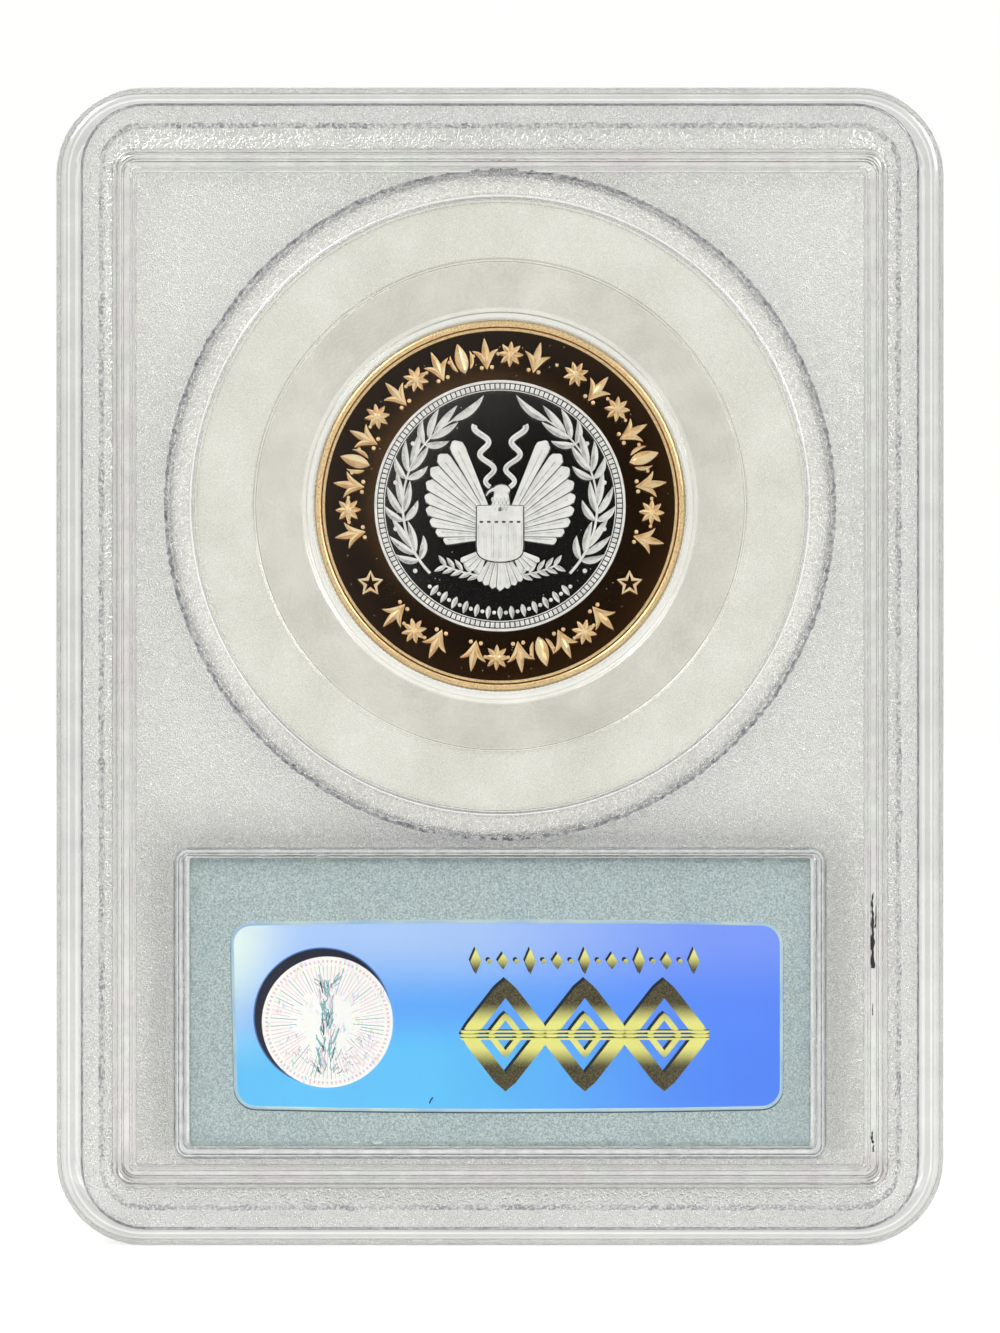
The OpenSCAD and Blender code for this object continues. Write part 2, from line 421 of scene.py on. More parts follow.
def gasket_materials():
    # The polished middle is tinted darker, a painted shade, and the lip lighter, a painted highlight.
    return [gasket_plastic("gasket_satin", linear(232, 231, 220), linear(255, 255, 247), 0.3, 0.006),
            gasket_plastic("gasket_polished_shaded", linear(217, 215, 205), linear(248, 246, 237), 0.06),
            gasket_plastic("gasket_lip_highlight", linear(246, 245, 238), linear(255, 255, 249), 0.14)]


def metal(name, shade, light, rough, grain_mm, depth, metallic=1.0):
    """A struck metal surface: a mirror when smooth, frosted when rough."""
    paint = Paint(name, Metallic=metallic)
    grain = paint.noise(1 / grain_mm, 2.0)
    paint.link("Base Color", paint.mix(paint.ramp(grain, 0.3, 0.7), shade, light))
    paint.link("Roughness", paint.ramp(grain, 0.3, 0.7, rough * 0.85, rough * 1.15))
    if depth:
        paint.bump(grain, depth, 0.5)
    return paint.material


def frosted_metal(name, shade, light, metallic):
    """Struck and frosted metal, with cloudy patches and a fine grain."""
    paint = Paint(name, Metallic=metallic)
    cloud = paint.ramp(paint.noise(1.3, 3.0, rough=0.6), 0.34, 0.6)
    grain = paint.cloud(9.0, 2.0)
    tone = paint.blend(cloud, grain, 0.75)
    paint.link("Base Color", paint.mix(tone, shade, light))
    paint.rough(grain, 0.32, 0.45)
    paint.bump(grain, 0.005, 0.5)
    return paint.material


def dusty_mirror(name, shade, light):
    """The polished field of a proof coin, with a few specks of dust."""
    paint = Paint(name, Metallic=1.0)
    spot = paint.node("TexVoronoi", Vector=paint.place(), Scale=2.6)
    chosen = paint.ramp(paint.noise(1.1, 2.0), 0.56, 0.6)
    speck = paint.math("MULTIPLY", paint.ramp(spot.outputs["Distance"], 0.1, 0.06), chosen)
    tone = paint.cloud(0.5, 2.0)
    paint.link("Base Color", paint.mix(speck, paint.mix(tone, shade, light), (0.9, 0.86, 0.8, 1)))
    paint.link("Metallic", paint.ramp(speck, 0.0, 1.0, 1.0, 0.3))
    paint.rough(speck, 0.035, 0.6)
    return paint.material


def label_paper():
    """Coated paper with a fine mottle, like a security tint."""
    paint = Paint("label_paper", Specular_IOR_Level=0.3)
    mottle = paint.ramp(paint.noise(9.1, 2.0, rough=0.8), 0.34, 0.66)
    cloud = paint.cloud(0.3, 2.0)
    fibre = paint.mix(mottle, linear(158, 175, 179), linear(222, 236, 236))
    tinge = paint.mix(cloud, (0.96, 0.99, 1.0, 1), (1.0, 1.0, 0.97, 1))
    paint.link("Base Color", paint.mix(1.0, fibre, tinge, "MULTIPLY"))
    paint.rough(mottle, 0.55, 0.7)
    paint.bump(mottle, 0.01, 0.3)
    return paint.material


def printed(name, colour, rough=0.5):
    """Ink on paper, with a little unevenness."""
    paint = Paint(name, Specular_IOR_Level=0.3)
    patch = paint.cloud(3.0, 3.0)
    lighter = tuple(min(1.0, c * 1.12 + 0.004) for c in colour[:3]) + (1.0,)
    paint.link("Base Color", paint.mix(patch, colour, lighter))
    paint.link("Roughness", paint.cloud(6.0, to_low=rough, to_high=rough + 0.12))
    return paint.material


def hologram_blue():
    """Blue foil: pale at the upper left, azure at the lower left and violet blue at the right."""
    paint = Paint("hologram_blue", Specular_IOR_Level=0.3)
    across, height = paint.axis("X"), paint.axis("Z")
    right = paint.ramp(across, foil_low.x + 13, foil_high.x - 2)
    middle = paint.ramp(height, foil_low.z + 4, foil_low.z + 7.5)
    top = paint.ramp(height, foil_low.z + 7.2, foil_high.z - 0.8)
    left = paint.math("POWER", paint.ramp(across, foil_low.x + 6.0, foil_low.x - 0.3), 1.2)
    low_band = paint.mix(right, linear(104, 202, 255), linear(86, 140, 255))
    middle_band = paint.mix(right, linear(102, 176, 255), linear(92, 142, 255))
    top_band = paint.mix(right, linear(180, 210, 255), linear(126, 158, 255))
    colour = paint.mix(top, paint.mix(middle, low_band, middle_band), top_band)
    faded = paint.math("MULTIPLY", left, paint.ramp(height, foil_low.z + 2, foil_high.z - 1, 0.0,
                                                    1.0))
    colour = paint.mix(faded, colour, linear(236, 252, 246))
    grain = paint.cloud(6.0, 2.0, rough=0.7)
    speck = paint.mix(grain, (0.94, 0.97, 1.0, 1), (1.0, 1.0, 1.0, 1))
    paint.link("Base Color", paint.mix(1.0, colour, speck, "MULTIPLY"))
    # painted glow: the foil gives off light in its own colour
    paint.glow(FOIL_GLOW)
    paint.link("Emission Color", colour)
    paint.rough(grain, 0.35, 0.5)
    return paint.material


def foil_edge():
    """Bare, pale edge of the sticker."""
    paint = Paint("foil_edge")
    tone = paint.cloud(0.25, 3.0)
    paint.link("Base Color", paint.mix(tone, linear(168, 208, 238), linear(216, 236, 232)))
    paint.link("Roughness", paint.cloud(5.0, to_low=0.4, to_high=0.55))
    return paint.material


def foil_gold(middle, reach):
    """Gold foil that darkens away from its middle line: a painted sheen."""
    paint = Paint("foil_gold", Specular_IOR_Level=0.3)
    offset = paint.math("ABSOLUTE", paint.math("SUBTRACT", paint.axis("Z"), middle))
    gold, dark = linear(255, 252, 150), linear(66, 54, 46)
    grain = paint.cloud(8.0, 2.0)
    # painted sheen: bright at the middle line and dark away from it
    fade = paint.math("MULTIPLY", paint.ramp(offset, reach * 0.2, reach * 0.62),
                      paint.ramp(offset, reach * 1.5, reach * 1.2))
    shaded = paint.mix(fade, gold, dark)
    paint.link("Base Color", paint.mix(grain, shaded, paint.mix(0.12, shaded, gold)))
    paint.rough(grain, 0.35, 0.45)
    return paint.material


def foil_silver(x, y):
    """Diffraction foil: near white, with small iridescent flecks and fine streaks."""
    paint = Paint("foil_silver", Specular_IOR_Level=0.3)
    fleck = paint.node("TexVoronoi", Vector=paint.place((1, 1, 0.3)), Scale=9.0)
    hue = paint.node("HueSaturation", Color=fleck.outputs["Color"], Saturation=0.6, Value=1.5)
    amount = paint.ramp(paint.noise(0.8, 4.0, rough=0.75), 0.45, 0.66, 0.0, 0.6)
    silver = paint.mix(paint.ramp(paint.reach(x, y), DISC_R * 0.55, DISC_R),
                       linear(255, 255, 251), linear(255, 253, 248))
    colour = paint.mix(amount, silver, hue.outputs["Color"])
    paint.link("Base Color", colour)
    # painted glow: the foil gives off light in its own colour
    paint.glow(FOIL_GLOW)
    paint.link("Emission Color", colour)
    paint.link("Roughness", paint.cloud(5.0, to_low=0.3, to_high=0.5))
    return paint.material


# ================================================================ shells
# The edge slot is a near black tint, a painted dark line at steps and fillets, and the line slot a
# painted glowing highlight. The other tinted slots are painted shade.
(CLEAR, FROSTED, CRINKLED, RIM, EDGE_SHADE, SEAM_FACE, RIB, BAND_FACE, ROUNDING, LINE_GLOW, BOX_WALL,
 RAGGED, WELD, BAND_OUTER) = range(14)
ALONG = 160                      # points on each straight side of a loop of the case


def shell_materials():
    """Materials of both shells, in the order of the slot numbers above."""
    lengthwise = (0.15, 1, 1)
    return [clear_polished(),
            # the field has a painted shade beside the label and a painted glint at each side
            clear_frosted("clear_frosted_field", 0.87, low_shade=0.72, per_mm=3.6),
            clear_crinkled(),
            # the tinted materials are darker copies of the clear plastic: painted shade
            tinted("clear_rim", (0.81, 0.81, 0.785, 1), (0.86, 0.86, 0.835, 1), 0.8, lengthwise),
            # a near black tint: a painted dark line
            tinted("clear_edge_shade", (0.07, 0.07, 0.10, 1), (0.40, 0.40, 0.44, 1), 2.6),
            tinted("clear_seam", (0.80, 0.80, 0.80, 1), (0.86, 0.86, 0.85, 1), 0.3),
            # the ribs also have a painted shade at their foot
            tinted("clear_rib", (0.85, 0.80, 0.83, 1), (0.87, 0.91, 0.86, 1), 0.25, rough=0.08,
                   foot=0.86),
            # the band has a painted shade in its foot strip and a painted glint at each side
            clear_frosted("clear_frosted_band", 0.97, foot_shade=0.90, curl=0.9, per_mm=2.7),
            tinted("clear_rounding", (0.76, 0.76, 0.73, 1), (0.82, 0.82, 0.79, 1), 0.8, lengthwise,
                   rough=0.2),
            # a painted glow: the bright line on the rim's crest and the window's bead
            tinted("clear_line_glow", (0.99, 0.99, 0.98, 1), (1.0, 1.0, 1.0, 1), 0.3, glow=0.11),
            tinted("clear_box_wall", (0.66, 0.68, 0.68, 1), (0.80, 0.82, 0.81, 1), 1.4, rough=0.3),
            clear_ragged(),
            tinted("clear_weld", (0.80, 0.80, 0.78, 1), (0.92, 0.92, 0.89, 1), 0.9, rough=0.1),
            clear_frosted("clear_frosted_outer_band", 0.95, curl=0.7, rough=0.36, side_glint=0.0,
                          per_mm=2.9)]


class Shell(Shape):
    """One half of the case, drawn as loops at an inset and a height."""

    def edge(self, inset, out):
        """Loop of the outside, and of the rim's crest."""
        half_h = CASE_H / 2
        return self.loop(rounded(HALF_W - inset, half_h - inset, half_h, CORNER_R - inset,
                                 along=ALONG), out)

    def step(self, inset, out):
        """Loop of the step between the rim and the frosted band."""
        half_h = CASE_H / 2
        return self.loop(rounded(HALF_W - RIM_SIDE - inset, half_h - RIM_END - inset, half_h,
                                 CORNER_R - RIM_SIDE + 0.2 - inset, along=ALONG), out)

    def wall(self, inset, out, uneven=0.01):
        """Loop of the inside of the outer wall."""
        half_h = CASE_H / 2
        points = rounded(HALF_W - WALL_SIDE - inset, half_h - WALL_END - inset, half_h,
                         CORNER_R - WALL_SIDE - inset, along=ALONG)
        return self.loop(wavy(points, uneven, 0.5, 3), out)

    def frame(self, inset, out):
        """Loop of the weld frame. Inset 0 is its outside."""
        radius = max(FRAME_R - inset, 0.3)
        return self.loop(rounded(FRAME_HW - inset, FRAME_HH - inset, FRAME_Z, radius,
                                 along=ALONG), out)

    def ring(self, r, out):
        """Loop of the round well."""
        return self.loop(circle(r, 240, 0, COIN_Z), out)

    def box(self, inset, out):
        """Loop of the label's box. Inset 0 is its outside."""
        radius = max(1.0 - inset, 0.3)
        return self.loop(rounded(BOX_HW - inset, BOX_HH - inset, BOX_Z, radius), out)

    def run(self, path):
        """Joins loops in order. Each is a loop and the material of the strip that leads to it."""
        for (a, _), (b, slot) in zip(path, path[1:]):
            self.strip(a, b, slot)
        return path[-1][0]


def root(loop_at, wall, way, floor=PLATE, radius=ROOT_R, slot=EDGE_SHADE):
    """Loops of the rounded corner where a wall at inset `wall` meets the plate."""
    return [(loop_at(wall + way * radius * (1 - c), floor - radius * (1 - s)), slot if s else CLEAR)
            for s, c in quarter(4)]


def outer_face(shape):
    """Outside of a shell, from the parting line to the window. Returns the first loop."""
    chamfer, ease, line_w = 0.06, 0.07, 0.15
    path = [(shape.edge(chamfer, SEAM), ROUNDING), (shape.edge(0, SEAM + chamfer), ROUNDING)]
    first = path[0][0]
    for s, c in quarter(8):
        path.append((shape.edge(EDGE_R * (1 - c), HALF_T - EDGE_R * (1 - s)), ROUNDING))
    # a narrow strip along the rim's crest in the glowing line material: a painted highlight
    path.append((shape.edge(EDGE_R + line_w, HALF_T), LINE_GLOW))
    # the step down from the rim is in the near black edge material: a painted dark line
    for s, c in quarter(4):
        path.append((shape.step(-ease * (1 - s), HALF_T - ease * (1 - c)), EDGE_SHADE if s else RIM))
    for s, c in quarter(4):
        path.append((shape.step(ease * (1 - c), BAND + ease * (1 - s)), EDGE_SHADE))
    path += [(shape.wall(-0.2, BAND, 0.16), BAND_OUTER), (shape.wall(0, BAND - 0.02, 0.16), RAGGED),
             (shape.wall(0.2, BAND, 0.16), RAGGED), (shape.frame(-0.04, BAND), BAND_FACE)]
    for start, low_end in ((0.0, BAND), (FRAME_WALL - RIB_W, FIELD)):
        for i in range(9):
            a = math.pi * i / 8
            base = BAND + (low_end - BAND) * i / 8
            inset = start + RIB_W / 2 * (1 - math.cos(a))
            path.append((shape.frame(inset, base + RIB_RISE * math.sin(a)), RIB))
    field = shape.run(path)

    window = round_window(shape)
    # the box's outline is in the darker box-wall and near black edge materials: painted shade
    box = [(shape.box(inset, FIELD - drop), slot)
           for inset, drop, slot in ((-0.06, 0, BOX_WALL), (0.06, 0.05, BOX_WALL), (0.3, 0.05, CLEAR),
                                     (0.35, 0.02, EDGE_SHADE), (0.4, 0.05, EDGE_SHADE))]
    clear_box = shape.run(box)
    shape.face(clear_box, CLEAR)
    shape.fill([field, window, box[0][0]], FROSTED)
    return first


def round_window(shape):
    """The coin's window: a ragged step, a crinkled ring, a fine bead and the polished middle."""
    random.seed(4)
    count, lip_r = 1080, WINDOW_R - 0.26
    # the ragged step is in the near black edge material: a painted dark line
    path = [(shape.loop(wavy(circle(WINDOW_R, count, 0, COIN_Z), 0.14, 0.35), FIELD), EDGE_SHADE),
            (shape.loop(wavy(circle(lip_r, count, 0, COIN_Z), 0.2, 0.3, 5), FIELD - 0.08), EDGE_SHADE)]
    floor = FIELD - WINDOW_DROP
    rings = 5
    for i in range(1, rings + 1):
        r = lip_r + (WINDOW_FLAT_R + 0.07 - lip_r) * i / rings
        rough = 0.014 if i < rings else 0.0
        points = circle(r, count, 0, COIN_Z)
        path.append((shape.loop(points, lambda x, y: floor + random.uniform(-rough, rough)),
                     CRINKLED))
    # the fine bead is in the glowing line material: a painted highlight
    path.append((shape.loop(circle(WINDOW_FLAT_R, count, 0, COIN_Z), floor + 0.03), LINE_GLOW))
    path.append((shape.loop(circle(WINDOW_FLAT_R - 0.07, count, 0, COIN_Z), floor), LINE_GLOW))
    shape.face(shape.run(path), CLEAR)
    return path[0][0]


def inner_face(shape, first, pad, tongue):
    """Inside of a shell: its walls, the round well and the label's box and pad."""
    ease = 0.06
    lip = (FRAME_WALL - TONGUE_W) / 2
    top = -TONGUE_H if tongue else TONGUE_H + WELD_GAP
    grow = 0.0 if tongue else WELD_GAP
    near, far = lip - grow, lip + TONGUE_W + grow
    path = [(first, CLEAR), (shape.wall(-ease, SEAM), SEAM_FACE),
            (shape.wall(0, SEAM + ease), CLEAR)]
    path += root(shape.wall, 0, 1, slot=WELD)
    path += [(loop, CLEAR if number == 0 else WELD)
             for number, (loop, _) in enumerate(reversed(root(shape.frame, 0, -1)))]
    weld = [(0, SEAM + ease), (ease, SEAM), (near, SEAM), (near, top * 0.85), (near + 0.1, top),
            (far - 0.1, top), (far, top * 0.85), (far, SEAM), (FRAME_WALL - ease, SEAM),
            (FRAME_WALL, SEAM + ease)]
    path += [(shape.frame(inset, out), WELD) for inset, out in weld]
    path += root(shape.frame, FRAME_WALL, 1, slot=WELD)
    chamber = shape.run(path)

    well = list(reversed(root(shape.ring, WELL_WALL_R, 1, radius=0.15)))
    well += [(shape.ring(r, out), CLEAR)
             for r, out in ((WELL_WALL_R, SEAM + ease), (WELL_WALL_R - ease, SEAM),
                            (WELL_R + ease, SEAM), (WELL_R, SEAM + ease))]
    well += root(shape.ring, WELL_R, -1, radius=0.15, slot=CLEAR)
    shape.face(shape.run(well), CLEAR)

    box = list(reversed(root(shape.box, 0, -1, radius=0.15, slot=BOX_WALL)))
    box += [(shape.box(inset, out), BOX_WALL)
            for inset, out in ((0, SEAM + ease), (ease, SEAM), (BOX_RIB - ease, SEAM),
                               (BOX_RIB, SEAM + ease))]
    box += root(shape.box, BOX_RIB, 1, pad, 0.2, BOX_WALL)
    box.append((shape.box(BOX_RIB + 0.5, pad), BOX_WALL))
    shape.face(shape.run(box), CLEAR)
    shape.fill([chamber, well[0][0], box[0][0]], CLEAR)


def shell(name, node, side, pad, tongue, materials):
    """One half of the case, with its label pad at the height `pad`."""
    shape = Shell(side)
    first = outer_face(shape)
    inner_face(shape, first, pad, tongue)
    piece = shape.object(name, materials, sharp=35)
    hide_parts(node)
    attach(piece, CASE)
    return piece


def make_shells():
    """Both halves of the case. The back half has the tongue and the pad below the sticker."""
    materials = shell_materials()
    gap = 0.05
    back_pad = -foil_low.y + gap
    front_pad = card_high.y + gap
    shell("case_back_shell", "back_shell", BACK, back_pad, True, materials)
    shell("case_front_shell", "front_shell", FRONT, front_pad, False, materials)


def make_groove_dirt():
    """Thin black slivers of dirt in the frame's groove, at the right of the label."""
    shape = Shape(BACK)
    x = FRAME_HW - FRAME_WALL / 2 - 0.2
    slivers = (((0.0, 20.0), (0.02, 24.1), 0.3, 0.03), ((0.02, 23.8), (0.06, 25.5), 0.17, 0.1),
               ((0.14, 22.9), (0.2, 24.6), 0.1, -0.06), ((-0.02, 16.6), (0.0, 17.5), 0.08, 0.0),
               ((0.0, 7.4), (0.03, 8.3), 0.16, 0.08), ((0.05, 6.8), (0.12, 7.3), 0.14, 0.05))
    for (x0, z0), (x1, z1), width, bow in slivers:
        path = wavy(line((x + x0, z0), (x + x1, z1), 40, bow), 0.05, 0.3, z0)
        stroke(shape, path, lambda t: width * (0.75 + 0.25 * math.sin(17 * t)) * (1.1 - t ** 6), 0.04,
               BAND + 0.01)
    piece = shape.object("case_groove_dirt", [printed("dirt", linear(20, 20, 23))], weighted=False)
    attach(piece, CASE)


# ================================================================ turned pieces
def turned(name, section, slots, materials, count=256, reeds=None):
    """A closed ring or disc turned about the coin's axis. A section point is (radius, out)."""
    shape = Shape(FRONT, (0.0, COIN_Z))
    loops = []
    for number, (r, out) in enumerate(section):
        points = circle(r, count)
        if reeds and number in reeds:
            points = [(x * (1 - 0.006 * (i % 2)), y * (1 - 0.006 * (i % 2)))
                      for i, (x, y) in enumerate(points)]
        loops.append(shape.loop(points, out))
    for i in range(len(loops)):
        shape.strip(loops[i], loops[(i + 1) % len(loops)], slots[i])
    return shape.object(name, materials, sharp=40)


def make_gasket():
    """Stepped clear ring: a satin outer part, a polished middle and a bright lip at the coin."""
    bore, lip, step = COIN_R + 0.05, COIN_R + 0.72, 17.85
    outer, middle, inner = GASKET_HALF_T, 1.45, 1.2
    # the polished middle carries a painted shade and the lip a painted highlight
    satin, polished, bright = 0, 1, 2
    half = [(bore, inner - 0.1, bright), (bore + 0.1, inner, bright), (lip - 0.2, inner, bright),
            (lip - 0.08, inner + 0.04, bright), (lip + 0.08, middle - 0.04, polished),
            (lip + 0.2, middle, polished), (step - 0.42, middle, polished),
            (step - 0.36, middle + 0.02, polished), (step - 0.3, middle, polished),
            (step - 0.1, middle, polished), (step - 0.05, middle + 0.03, polished),
            (step + 0.02, outer - 0.06, polished), (step + 0.08, outer, satin),
            (GASKET_R - 0.2, outer, satin), (GASKET_R - 0.06, outer - 0.06, satin),
            (GASKET_R, outer - 0.2, satin)]
    section = [(r, out) for r, out, _ in half] + [(r, -out) for r, out, _ in reversed(half)]
    kinds = [kind for _, _, kind in half]
    slots = kinds + kinds[-2::-1] + [bright]
    piece = turned("coin_gasket_ring", section, slots, gasket_materials())
    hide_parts("coin_gasket")
    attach(piece, CARRIER)


# ================================================================ relief
# Relief slots: frosted metal, a painted half-shade and a near black painted shade
FROST, HALF_LIT, WALL_SHADE = range(3)
ROUND = ((-1.0, -0.35), (-0.9, 0.35), (-0.62, 0.8), (-0.22, 1.0), (0.22, 1.0), (0.62, 0.8),
         (0.9, 0.35), (1.0, -0.35))
FLAT = ((-1.0, -0.35), (-0.84, 0.85), (-0.6, 1.0), (0.6, 1.0), (0.84, 0.85), (1.0, -0.35))
TOOTH = ((-1.0, -0.35), (-0.94, 0.85), (-0.8, 1.0), (0.8, 1.0), (0.94, 0.85), (1.0, -0.35))
BLADE = ((-1.0, -0.35), (-0.94, 0.2), (-0.35, 0.42), (0.4, 0.75), (0.72, 1.0), (0.8, 0.9),
         (1.0, -0.35))
# the feather's edges get the painted half-shade and its steep drop the painted shade
BLADE_SLOTS = (HALF_LIT, FROST, FROST, FROST, HALF_LIT, WALL_SHADE, FROST)
RIDGE = ((-1.0, -0.35), (-0.86, 0.45), (-0.5, 0.5), (0.0, 1.0), (0.5, 0.5), (0.86, 0.45),
         (1.0, -0.35))
# one flank of the leaf's ridge gets the painted half-shade
RIDGE_SLOTS = (FROST, FROST, FROST, HALF_LIT, HALF_LIT, FROST, FROST)


def stroke(shape, path, width, height, base, section=ROUND, slot=0, closed=False):
    """A raised line along a path. `width` is a number, or a function of the share of its length.
    `slot` is a number, or one number for each strip of the section."""
    count = len(path)
    slots = slot if isinstance(slot, tuple) else (slot,) * len(section)
    loops = []
    for i, (x, y) in enumerate(path):
        before = path[i - 1] if i or closed else path[i]
        after = path[(i + 1) % count] if i < count - 1 or closed else path[i]
        dx, dy = after[0] - before[0], after[1] - before[1]
        length = math.hypot(dx, dy) or 1.0
        nx, ny = -dy / length, dx / length
        share = i / (count - 1)
        half = (width(share) if callable(width) else width) / 2
        rise = height * min(1.0, half / 0.12)
        loops.append([shape.point(x + nx * half * across, y + ny * half * across, base + rise * up)
                      for across, up in section])
    for a, b in zip(loops, loops[1:] + ([loops[0]] if closed else [])):
        for k, strip_slot in enumerate(slots):
            j = (k + 1) % len(a)
            shape.face([a[k], a[j], b[j], b[k]], strip_slot)
    if not closed:
        shape.face(loops[0][::-1], slots[0])
        shape.face(loops[-1], slots[0])


def line(start, end, steps=6, bow=0.0):
    """Points from start to end, bowed sideways by `bow`."""
    dx, dy = end[0] - start[0], end[1] - start[1]
    length = math.hypot(dx, dy) or 1.0
    nx, ny = -dy / length, dx / length
    points = []
    for i in range(steps + 1):
        t = i / steps
        side = bow * 4 * t * (1 - t)
        points.append((start[0] + dx * t + nx * side, start[1] + dy * t + ny * side))
    return points


def pointed(width):
    """Width of a pointed leaf along its length."""
    return lambda t: max(0.03, width * math.sin(math.pi * t ** 0.85) ** 0.8)


def bladed(root_width, width):
    """Width of a feather along its length: it widens from its root and ends in a round tip."""
    tip = 0.88

    def at(t):
        close = max(0.0, (t - tip) / (1 - tip))
        return (root_width + (width - root_width) * t) * math.sqrt(max(0.03, 1 - close * close))
    return at


def leaf(shape, x, y, degrees, length, width, height, base, bow=0.08):
    """A pointed leaf with a sharp ridge along its middle."""
    dx, dy = polar(length, degrees)
    stroke(shape, line((x, y), (x + dx, y + dy), 8, bow * length), pointed(width), height, base,
           RIDGE, RIDGE_SLOTS)


def feather(shape, x, y, degrees, length, width, height, base, side=1, bow=0.0):
    """A feather that lies on the next one and drops steeply to it along one side."""
    section = [(side * across, up) for across, up in BLADE]
    dx, dy = polar(length, degrees)
    path = line((x, y), (x + dx, y + dy), 16, bow * length)
    stroke(shape, path, bladed(width * 0.34, width), height, base, section, BLADE_SLOTS)
    # a line of painted half-shade down the feather's middle
    stroke(shape, path[2:-2], width * 0.07, 0.05, base + height * 0.5, FLAT, HALF_LIT)


def bead(shape, x, y, radius, height, base):
    """A small dome."""
    shape.solid([shape.loop(circle(radius * r, 12, x, y), base + height * up)
                 for r, up in ((1.0, -0.35), (0.95, 0.3), (0.75, 0.7), (0.42, 0.94))])


def plate(shape, outline, height, base, ease=0.08, slot=0):
    """A raised flat area with eased edges, from an outline that goes round its middle."""
    cx = sum(p[0] for p in outline) / len(outline)
    cy = sum(p[1] for p in outline) / len(outline)

    def shrunk(by):
        points = []
        for x, y in outline:
            away = math.hypot(x - cx, y - cy) or 1.0
            points.append((x - (x - cx) / away * by, y - (y - cy) / away * by))
        return points
    loops = [shape.loop(outline, base - 0.04), shape.loop(outline, base + height * 0.6),
             shape.loop(shrunk(ease), base + height)]
    shape.strip(loops[0], loops[1], slot)
    shape.strip(loops[1], loops[2], slot)
    shape.fill([loops[2]], slot)
    shape.fill([loops[0]], slot)


def hoop(shape, r, width, height, base, section=ROUND):
    stroke(shape, circle(r, 192), width, height, base, section, closed=True)


# ---------------------------------------------------------------- ring ornament
def bud(shape, r, degrees, tall, height, base):
    """A broad pointed bud between two slim leaves."""
    foot = polar(r - tall * 0.47, degrees)
    leaf(shape, *foot, degrees, tall * 0.94, 0.98, height, base, 0.0)
    for side in (-1, 1):
        leaf(shape, *polar(r - tall * 0.36, degrees + side * 2.6), degrees + side * 12, tall * 0.55,
             0.3, height * 0.8, base, side * 0.12)


def lily(shape, r, degrees, tall, height, base):
    """Three broad leaves that rise from a small foot of beads."""
    foot = polar(r - tall * 0.46, degrees)
    leaf(shape, *foot, degrees, tall * 0.96, 0.62, height, base, 0.0)
    for side in (-1, 1):
        leaf(shape, *foot, degrees + side * 34, tall * 0.72, 0.46, height, base, side * -0.16)
        bead(shape, *polar(r - tall * 0.4, degrees + side * 2.1), 0.15, height * 0.8, base)


def flower(shape, r, degrees, radius, height, base):
    """A small flower with eight petals."""
    x, y = polar(r, degrees)
    for i in range(8):
        leaf(shape, x, y, degrees + 45 * i, radius, 0.4, height, base, 0.0)
    bead(shape, x, y, 0.3, height * 1.15, base)


def star(shape, r, degrees, radius, base, height):
    """A plain open star."""
    cx, cy = polar(r, degrees)
    path = []
    for i in range(10):
        reach = radius if i % 2 == 0 else radius * 0.45
        x, y = polar(reach, 90 + 36 * i)
        path.append((cx + x, cy + y))
    stroke(shape, path, 0.29, height, base, FLAT, closed=True)


RUNS = ((191, 144, 6), (133, 86, 6), (76, 60, 2), (50, -13, 7), (226, 245, 3), (260, 312.5, 7))


def ring_ornament(shape, base):
    """Runs of lilies, flowers and buds round the ring, with a star each side."""
    r, tall, height = 11.0, 2.35, 0.18
    for start, end, count in RUNS:
        for i in range(count):
            degrees = start + (end - start) * i / (count - 1)
            if i % 2 == 0:
                lily(shape, r, degrees, tall, height, base)
            elif i % 4 == 1:
                flower(shape, r, degrees, 0.92, height, base)
            else:
                bud(shape, r, degrees, tall, height, base)
            if i < count - 1:
                between = degrees + (end - start) / (count - 1) / 2
                bead(shape, *polar(r, between), 0.13, height * 0.8, base)
    for degrees in (211, 329):
        star(shape, r - 0.05, degrees, 0.84, base, height)


# ---------------------------------------------------------------- border and wreath
def toothed_border(shape, base):
    """Fine flat teeth between two thin hoops, round the edge of the disc."""
    hoop(shape, CORE_R - 0.13, 0.2, 0.13, base, TOOTH)
    hoop(shape, CORE_R - 0.76, 0.07, 0.1, base, FLAT)
    count = 150
    for i in range(count):
        degrees = 360 * i / count
        path = [polar(CORE_R - reach, degrees) for reach in (0.66, 0.3)]
        stroke(shape, path, 0.29, 0.14, base, TOOTH)


def laurel(shape, side, base, r=7.05):
    """A branch with clusters of slender leaves and berries. side -1 is left and 1 is right."""
    def mirrored(x, y, degrees):
        return (x, y, degrees) if side < 0 else (-x, y, 180 - degrees)

    def slender(x, y, degrees, length, width, bow):
        px, py, way = mirrored(x, y, degrees)
        leaf(shape, px, py, way, length, width, 0.15, base, bow * -side)

    first, last = 224, 112
    stem = [polar(r, first + (last - first) * i / 24) for i in range(25)]
    if side > 0:
        stem = [(-x, y) for x, y in stem]
    stroke(shape, stem, lambda t: 0.22 - 0.12 * t, 0.1, base)
    for centre in (211, 186, 161, 138):
        for turn, length, shift in ((46, 1.75, 3.0), (-40, 1.8, 3.0), (24, 2.3, -1.0), (-18, 2.4, -1.5),
                                    (3, 2.7, -5.0)):
            x, y = polar(r, centre + shift)
            slender(x, y, centre - 90 + turn, length, 0.56, turn * 0.0025)
        for shift, out in ((6.5, 0.7), (-4.5, -0.85), (-9.0, 0.75)):
            bx, by, _ = mirrored(*polar(r + out, centre + shift), 0)
            bead(shape, bx, by, 0.17, 0.12, base)
    x, y = polar(r + 0.05, last + 8)
    slender(x, y, last - 74, 3.0, 0.62, -0.09)


